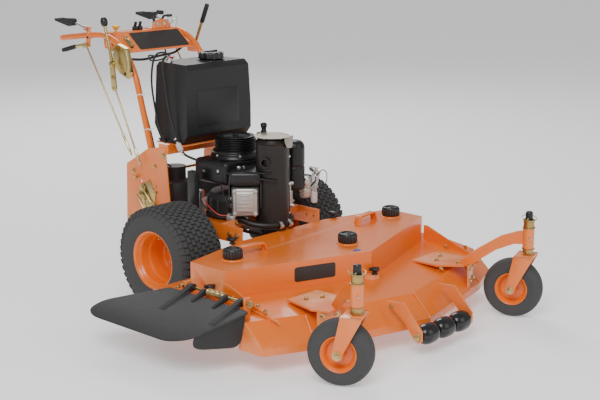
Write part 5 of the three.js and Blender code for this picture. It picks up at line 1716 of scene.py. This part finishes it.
# ------------------------------------------------------------------ controls
@dataclass
class Controls:
    """Handlebars, console, levers, rods and the speed quadrant."""

    bar_x: float = 216.0
    bar_radius: float = 14.0
    route: tuple[Pair, ...] = ((280, 430), (340, 590), (412, 830), (448, 945), (500, 1030), (580, 1092),
                               (660, 1116), (760, 1112), (860, 1100), (985, 1084))
    face_low: Pair = (524.0, 1046.0)
    face_high: Pair = (628.0, 1130.0)

    def on_face(self, x: float, up: float, out: float = 0.0) -> Matrix:
        """Places local XY on the console's sloping front face.

        Args:
            x: place across the machine.
            up: distance up the face from its lower edge.
            out: distance off the face.

        Returns:
            The placement, with local Z off the face.
        """
        low, high = Vector((0, *self.face_low)), Vector((0, *self.face_high))
        rise = (high - low).normalized()
        off = Vector((1, 0, 0)).cross(rise)
        spot = low + rise * up + off * out + Vector((x, 0, 0))
        return Matrix(((1, 0, 0, spot.x), (0, rise.y, off.y, spot.y), (0, rise.z, off.z, spot.z),
                       (0, 0, 0, 1)))

    def bar(self, sign: int) -> Shape:
        """Shapes one handlebar tube with its lever pins.

        Args:
            sign: which side of the machine.

        Returns:
            The shape.
        """
        x = sign * self.bar_x
        shape = Shape().tube(smooth_path([(x, y, z) for y, z in self.route], 8), self.bar_radius, 28)
        for y, z in ((765, 1146), (775, 1066)):
            shape.rod((sign * 214, y, z), (sign * 256, y, z), 5, 20)
        shape.box((10, 26, 60), (sign * 224, 770, 1124), None, 3)
        return shape.box((10, 26, 60), (sign * 224, 775, 1086), None, 3)

    def ties(self, sign: int) -> Shape:
        """Shapes the cable ties round one handlebar."""
        shape = Shape()
        x = sign * self.bar_x
        ring = hoop(14.3, 15.9, 2.2)
        for y, z, up in ((424, 868, 0.95), (378, 716, 0.95)):
            shape.lathe(ring, (x, y, z), (0, 0.29, up), 28)
            shape.box((7, 8, 6), (x + 3, y - 17, z), None, 1.2)
            shape.rod((x + 3, y - 18, z), (x + 20, y - 40, z + 12), 1.3, 8)
        return shape

    def console(self, shop: Workshop) -> None:
        """Makes the console with its plain plate, a dark sheet as painted shade in its slot, the slot bracket
        and switches.
        """
        shop.refine("console", ORANGE, "chassis", 3.0, 30.0, 3)
        plate = rounded([(40, 12), (186, 12), (186, 122), (-112, 122), (-112, 12), (40.01, 12)], 8, 4)[:-1]
        shop.piece("console_film_plate", Shape().prism(plate, 0.9, self.on_face(0, 0, 0.1), 0.3, 1),
                   PLATE_BLACK, "chassis")
        # The slot is a thin black sheet on the face: painted shade standing for the opening.
        slot = rounded([(0, 0), (9, 0), (9, 78), (-9, 78), (-9, 0), (0.01, 0)], 7, 3)[:-1]
        painted_slot_shade = Shape().prism(slot, 0.8, self.on_face(-150, 26, 0.1), 0.2, 1)
        shop.piece("console_slot", painted_slot_shade, PLATE_BLACK, "chassis")
        clip = Shape()
        clip.prism([(-16, 0), (-2, 0), (4, 30), (-2, 60), (-16, 66)], 3, self.on_face(-146, 30, 1.2), 0.8)
        clip.prism([(2, 6), (16, 2), (14, 56), (0, 50)], 2.4, self.on_face(-152, 32, 4.4), 0.8)
        for up in (30, 84):
            at = self.on_face(-150, up + 8, 6.4)
            clip.bolt(tuple(at.translation), tuple(at.col[2])[:3], 6)
        shop.piece("console_slot_bracket", clip, ZINC, "chassis")
        switches = Shape()
        for x in (-42, -14):
            switches.box((22, 20, 18), (x, 655, 1139), None, 3, 3)
            switches.box((13, 10, 26), (x, 652, 1158), Matrix.Rotation(0.35, 4, "X"), 3, 3)
        shop.piece("console_switches", switches, PLASTIC, "chassis")
        self.throttle(shop)
        self.wiring(shop)

    def throttle(self, shop: Workshop) -> None:
        """Makes the throttle and choke levers with their bracket."""
        hump = [(-62, 0), (62, 0), (50, 26), (18, 44), (-24, 44), (-52, 24)]
        shape = Shape()
        face = Matrix.Translation((104, 642, 1129)) @ UPRIGHT
        shape.prism(hump, 4, face, 1.4)
        shape.prism([(-62, -2), (62, -2), (62, 46), (-62, 46)], 4, Matrix.Translation((104, 640, 1130.4)),
                    1.4)
        shop.piece("throttle_bracket", shape, ORANGE, "chassis")
        black = Shape()
        black.tube(smooth_path([(76, 650, 1150), (70, 655, 1180), (84, 662, 1200), (112, 668, 1204)], 8),
                   6.5, 16)
        black.box((40, 18, 20), (122, 668, 1202), Matrix.Rotation(0.15, 4, "Y"), 6, 3)
        black.tube(smooth_path([(118, 650, 1150), (128, 656, 1176), (146, 660, 1186), (168, 664, 1184)], 8),
                   5.5, 16)
        black.box((30, 16, 14), (176, 664, 1184), None, 5, 3)
        shop.piece("throttle_levers", black, PLASTIC, "chassis")
        metal = Shape()
        for x in (76, 118):
            metal.rod((x - 13, 650, 1156), (x + 13, 650, 1156), 10, 24, 1.2)
            metal.bolt((x, 636, 1152), (0, -1, 0), 7)
        loop = [(150, 640, 1140), (170, 622, 1170), (188, 620, 1180), (196, 634, 1150), (192, 640, 1112),
                (200, 622, 1096)]
        metal.tube(smooth_path(loop, 8), 2.0, 8)
        shop.piece("throttle_hardware", metal, BRIGHT, "chassis")

    def wiring(self, shop: Workshop) -> None:
        """Makes the harness and the cables below the console and along the right bar."""
        loom = Shape()
        bar = [(-200, y + 12, z - 2) for y, z in self.route[:6]]
        loom.tube(smooth_path([(-150, 640, 1096), (-180, 560, 1030),
                               *[(x, y, z) for x, y, z in reversed(bar[:-1])]], 6), 6.5, 14)
        loom.tube(smooth_path([(-120, 640, 1080), (-176, 560, 1000), (-196, 470, 920), (-192, 420, 800),
                               (-196, 372, 690), (-200, 330, 600), (-190, 250, 560)], 6), 4.2, 12)
        loom.tube(smooth_path([(-190, 560, 1016), (-110, 520, 1010), (10, 540, 1016), (110, 560, 1020),
                               (180, 580, 1040)], 6),
                  6.0, 12)
        loom.tube(smooth_path([(110, 650, 1080), (60, 560, 1006), (-60, 520, 1000), (-110, 480, 1030),
                               (-150, 400, 1040)], 6),
                  4.0, 12)
        shop.piece("control_cables", loom, RUBBER, "chassis")

    def presence(self, side: str, sign: int, shop: Workshop) -> None:
        """Makes one operator-presence lever: its steel arm and its moulded paddle."""
        body = f"presence_lever_{side}"
        x = sign * 244
        arm = Shape().tube(smooth_path([(x, 765, 1146), (x, 815, 1160), (x, 866, 1168)], 8), 5, 16)
        arm.lathe(rounded(hoop(5.4, 11, 6), 1, 2), (x, 765, 1146), (1, 0, 0), 28)
        shop.piece(f"presence_arm_{side}", arm, STEEL, body)
        outline = rounded([(862, 1151), (877, 1148), (983, 1168), (983, 1180), (930, 1178), (880, 1186),
                           (849, 1184), (845, 1154), (861.9, 1151)], 6, 3)[:-1]
        paddle = Shape().prism(outline, 30, Matrix.Translation((x - 15, 0, 0)) @ YZ, 4.0, 4)
        for k in range(4):
            paddle.box((31, 2.5, 2.5), (x, 905 + k * 16, 1180.6 + k * 0.3), None, 1, 1)
        shop.piece(f"presence_paddle_{side}", paddle, GRIP, body, (body,))

    def drive(self, side: str, sign: int, shop: Workshop) -> None:
        """Makes one drive lever: its steel crank and its round grip."""
        body = f"drive_lever_{side}"
        x = sign * 244
        metal = Shape().tube(smooth_path([(x, 775, 1066), (x, 808, 1063), (x, 835, 1058), (x, 870, 1049)],
                                         6), 6.5, 18)
        metal.lathe(rounded(hoop(5.4, 13, 6), 1.2, 2), (x, 775, 1066), (1, 0, 0), 32)
        beside = Matrix.Translation((x - 4 + sign * 9, 0, 0)) @ YZ
        metal.prism(rounded([(757, 1058), (775, 1052), (782, 1066), (775, 1080), (757, 1076), (738, 1074),
                             (736, 1062), (756.9, 1058)], 4, 3)[:-1], 8, beside, 1.4)
        metal.rod((x + sign * 5, 745, 1068), (sign * 266, 745, 1068), 3.6, 16)
        shop.piece(f"drive_crank_{side}", metal, ZINC, body)
        grip = Shape().tube(smooth_path([(x, 846, 1055.4), (x, 880, 1047), (x, 944, 1031)], 8), 9.5, 24)
        for k in range(7):
            y = 858 + k * 11
            grip.lathe(hoop(8, 10.5, 1.4), (x, y, 1052.4 - k * 2.8), (0, 1, -0.25), 24)
        shop.piece(f"drive_grip_{side}", grip, GRIP, body, (body,))

    def rod(self, side: str, sign: int, shop: Workshop) -> None:
        """Makes one control rod with its eye, clevis and lock nut."""
        body = f"control_rod_{side}"
        x = sign * 258
        top, low = Vector((x, 745, 1068)), Vector((x, 440, 596))
        along = (low - top).normalized()
        shape = Shape().rod(tuple(top + along * 10), tuple(low), 4, 18)
        shape.lathe(rounded(hoop(4.2, 11, 3), 1, 2), tuple(top), (1, 0, 0), 32)
        shape.rod(tuple(low - along * 90), tuple(low - along * 20), 6.5, 6, 0.6)
        shape.rod(tuple(low - along * 104), tuple(low - along * 95), 8, 6, 0.6)
        shop.piece(f"control_rod_{side}_shank", shape, ZINC, body, (body,))

    def quadrant(self, shop: Workshop) -> None:
        """Makes the speed quadrant with its folded flange; its arc of notches and a larger hole are dark
        discs, painted shade in place of openings.
        """
        outline = [(430, 968), (460, 934), (530, 960), (578, 1000), (570, 1050), (508, 1090), (454, 1072)]
        closed = rounded([(445, 951), (460, 934), *outline[2:], (430, 968), (445.01, 950.99)], 12, 4)[:-1]
        shape = Shape().prism(closed, 4, flat_yz(-244), 1.2)
        edge = [(566, 1053), (508, 1090.4), (454, 1072.4), (431, 972), (427, 973), (450.5, 1075.4),
                (508.6, 1094.6), (568, 1056)]
        shape.prism(rounded([(540, 1070), *edge[1:], edge[0], (540.1, 1069.9)], 5, 3)[:-1], 24,
                    Matrix.Translation((-268, 0, 0)) @ YZ, 1.2)
        shop.piece("speed_quadrant_plate", shape, ZINC, "chassis", ("speed_quadrant",))
        # Dark discs through the plate stand for the notch holes and the larger hole: painted shade, not
        # openings.
        painted_hole_shade = Shape()
        for k in range(13):
            a = math.radians(112 + k * 8.5)
            painted_hole_shade.rod((-244.5, 548 + 74 * math.cos(a), 1000 + 74 * math.sin(a)),
                      (-239.5, 548 + 74 * math.cos(a), 1000 + 74 * math.sin(a)), 2.6, 16, 0.2)
        painted_hole_shade.rod((-244.5, 488, 958), (-239.5, 488, 958), 8, 24, 0.3)
        shop.piece("speed_quadrant_notch_shade", painted_hole_shade, PLATE_BLACK, "chassis")

    def speed(self, shop: Workshop) -> None:
        """Makes the speed lever, its link and the rod down to the pumps."""
        body = "speed_lever"
        shape = Shape().tube(smooth_path([(-266, 550, 1000), (-266, 570, 1084), (-266, 596, 1178)], 6), 7, 20)
        shape.lathe(rounded(hoop(5.4, 15, 8), 1.5, 2), (-266, 550, 1000), (1, 0, 0), 36)
        link = rounded([(548, 1012), (562, 1010), (566, 990), (556, 884), (545, 878), (530, 880),
                        (522, 892), (534, 1000), (547.9, 1012)], 8, 4)[:-1]
        shape.prism(link, 7, Matrix.Translation((-269.5, 0, 0)) @ YZ, 1.4)
        shape.bolt((-270, 548, 1000), (-1, 0, 0), 11)
        shape.bolt((-270, 541, 940), (-1, 0, 0), 9)
        shape.rod((-276, 540, 892), (-256, 540, 892), 5, 16)
        shop.piece("speed_lever_shaft", shape, ZINC, body)
        knob = rounded([(0, -4), (9, -4), (14, 2), (16.5, 12), (16.5, 22), (13, 34), (5, 39), (0, 39)], 4, 4)
        shop.piece("speed_lever_knob", Shape().lathe(knob, (-266, 594, 1170), (0, 0.25, 0.97), 32), PLASTIC,
                   body, (body,))
        low = (-262, 380, 566)
        rod = Shape().rod((-262, 540, 892), low, 4, 16)
        drop = (Vector(low) - Vector((-262, 540, 892))).normalized()
        rod.rod(tuple(Vector(low) - drop * 70), tuple(Vector(low) - drop * 14), 6.5, 6, 0.6)
        rod.lathe(hoop(3.6, 9, 3), low, (1, 0, 0), 24)
        shop.piece("speed_rod", rod, ZINC, body, link=Link("chassis", (-262, 540, 892), low))

    def brake(self, shop: Workshop) -> None:
        """Makes the brake lever with its grip, knuckle and bracket."""
        body = "brake_lever"
        a, b = Vector((244, 560, 1046)), Vector((244, 468, 1244))
        along = (b - a).normalized()
        shape = Shape().rod(tuple(a), tuple(a + along * 150), 8, 22, 1)
        shop.piece("brake_shaft", shape, ZINC, body)
        grip = Shape().rod(tuple(a + along * 122), tuple(b), 10.4, 28, 3)
        for k in range(9):
            at = a + along * (128 + k * 9)
            grip.lathe(hoop(9, 11.2, 1.2), tuple(at), tuple(along), 28)
        shop.piece("brake_grip", grip, GRIP, body, (body,))
        knuckle = Shape().lathe(rounded([(5.6, -13), (16, -13), (18, -8), (18, 8), (16, 13), (5.6, 13),
                                         (5.6, -13)], 2, 3),
                                tuple(a), (1, 0, 0), 36)
        shop.piece("brake_knuckle", knuckle, COPPER, body)
        bracket = Shape().prism(rounded([(560, 1016), (590, 1016), (596, 1040), (574, 1072), (546, 1072),
                                         (528, 1040), (534, 1016), (560.01, 1016)], 6, 3)[:-1], 8,
                                Matrix.Translation((222, 0, 0)) @ YZ, 1.5)
        shop.piece("brake_bracket", bracket, ORANGE, "chassis")
        pin = Shape().bolt((258, 560, 1046), (1, 0, 0), 9)
        shop.piece("brake_pin", pin.rod((226, 560, 1046), (262, 560, 1046), 5.3, 20), ZINC, "chassis")

    def build(self, shop: Workshop) -> None:
        """Makes all the controls."""
        for side, sign in SIDES:
            shop.piece(f"handlebar_tube_{side}", self.bar(sign), ORANGE, "chassis", (f"handlebar_{side}",))
            shop.piece(f"handlebar_ties_{side}", self.ties(sign), TIE, "chassis")
            self.presence(side, sign, shop)
            self.drive(side, sign, shop)
            self.rod(side, sign, shop)
        self.console(shop)
        self.quadrant(shop)
        self.speed(shop)
        self.brake(shop)
        stem = Shape().rod((-150, 662, 1104), (-150, 662, 1142), 6, 20)
        head = rounded([(0, 1138), (7, 1138), (10, 1142), (18, 1150), (18.5, 1155), (16, 1159),
                        (0, 1160.5)], 2, 3)
        stem.lathe(head, (-150, 662, 0), (0, 0, 1), 36)
        shop.piece("clutch_knob", stem, YELLOW, "pto_knob", ("pto_knob",))


# ------------------------------------------------------------------ studio
@dataclass
class Studio:
    """The camera, the pale floor and the soft lights."""

    eye: Point = (-3873.4, -4035.8, 1719.2)
    forward: Point = (0.7127, 0.6685, -0.2125)
    lens: float = 77.11
    shift: Pair = (-0.0113, -0.033)
    sky: float = 0.42
    floor_glow: float = 0.38
    floor_half_m: float = 40.0
    key_watts: float = 330.0
    fill_watts: float = 70.0
    rim_watts: float = 200.0

    def floor(self) -> None:
        """Makes the floor and its material."""
        mesh = bpy.data.meshes.new("studio_floor")
        bm = bmesh.new()
        bmesh.ops.create_grid(bm, x_segments=1, y_segments=1, size=self.floor_half_m)
        bm.to_mesh(mesh)
        bm.free()
        made = bpy.data.objects.new("studio_floor", mesh)
        bpy.context.scene.collection.objects.link(made)
        paint = bpy.data.materials.new("studio_white")
        paint.use_nodes = True
        shader = paint.node_tree.nodes["Principled BSDF"]
        shader.inputs["Base Color"].default_value = (0.86, 0.86, 0.86, 1)
        shader.inputs["Roughness"].default_value = 0.9
        shader.inputs["Emission Color"].default_value = (1, 1, 1, 1)
        shader.inputs["Emission Strength"].default_value = self.floor_glow
        mesh.materials.append(paint)
        made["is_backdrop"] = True

    def light(self, name: str, at: Point, toward: Point, size: float, watts: float) -> None:
        """Adds one soft area light.

        Args:
            name: its name.
            at: its place in metres.
            toward: the place that it faces.
            size: its side in metres.
            watts: its power.
        """
        lamp = bpy.data.lights.new(name, "AREA")
        lamp.shape = "SQUARE"
        lamp.size = size
        lamp.energy = watts
        made = bpy.data.objects.new(name, lamp)
        made.matrix_world = Matrix.Translation(at) @ facing(Vector(at) - Vector(toward))
        bpy.context.scene.collection.objects.link(made)
        made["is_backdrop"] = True

    def camera(self, shop: Workshop) -> None:
        """Sets the camera."""
        data = bpy.data.cameras.new("view")
        data.lens = self.lens
        data.sensor_width = 36.0
        data.shift_x, data.shift_y = self.shift
        made = bpy.data.objects.new("view", data)
        look = Vector(self.forward).normalized()
        made.matrix_world = Matrix.Translation(shop.point(self.eye)) @ facing(-look)
        bpy.context.scene.collection.objects.link(made)
        bpy.context.scene.camera = made

    def build(self, shop: Workshop) -> None:
        """Makes the whole studio."""
        world = bpy.data.worlds.new("studio")
        world.use_nodes = True
        world.node_tree.nodes["Background"].inputs["Color"].default_value = (1, 1, 1, 1)
        world.node_tree.nodes["Background"].inputs["Strength"].default_value = self.sky
        bpy.context.scene.world = world
        self.floor()
        self.light("key", (-4.0, -3.0, 5.0), (0, 0, 0.5), 3.5, self.key_watts)
        self.light("fill", (1.5, -6.0, 3.0), (0, 0, 0.4), 4.0, self.fill_watts)
        self.light("rim", (3.0, 4.0, 4.5), (0, 0, 0.6), 3.0, self.rim_watts)
        self.camera(shop)


# ------------------------------------------------------------------ the whole machine
def corners(bounds: Sequence[Sequence[float]]) -> list[list[float]]:
    """Gives a box's corners as plain lists."""
    return [[float(v) for v in corner] for corner in bounds]


def main() -> None:
    """Builds the machine's looks and its studio."""
    logging.basicConfig(level=logging.INFO, format="%(name)s: %(message)s", stream=sys.stdout)
    shop = Workshop()
    parts: list = [Deck(), Chute(), Rollers(), Chassis(), Engine(), Tank(), Controls()]
    parts += [DriveWheel(side, sign) for side, sign in SIDES]
    parts += [Caster("right", -1, 25.0), Caster("left", 1, 20.0)]
    for part in parts:
        part.build(shop)
    Studio().build(shop)
    {"packed": BEFORE, "finished": corners(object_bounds())}


if __name__ == "__main__":
    main()
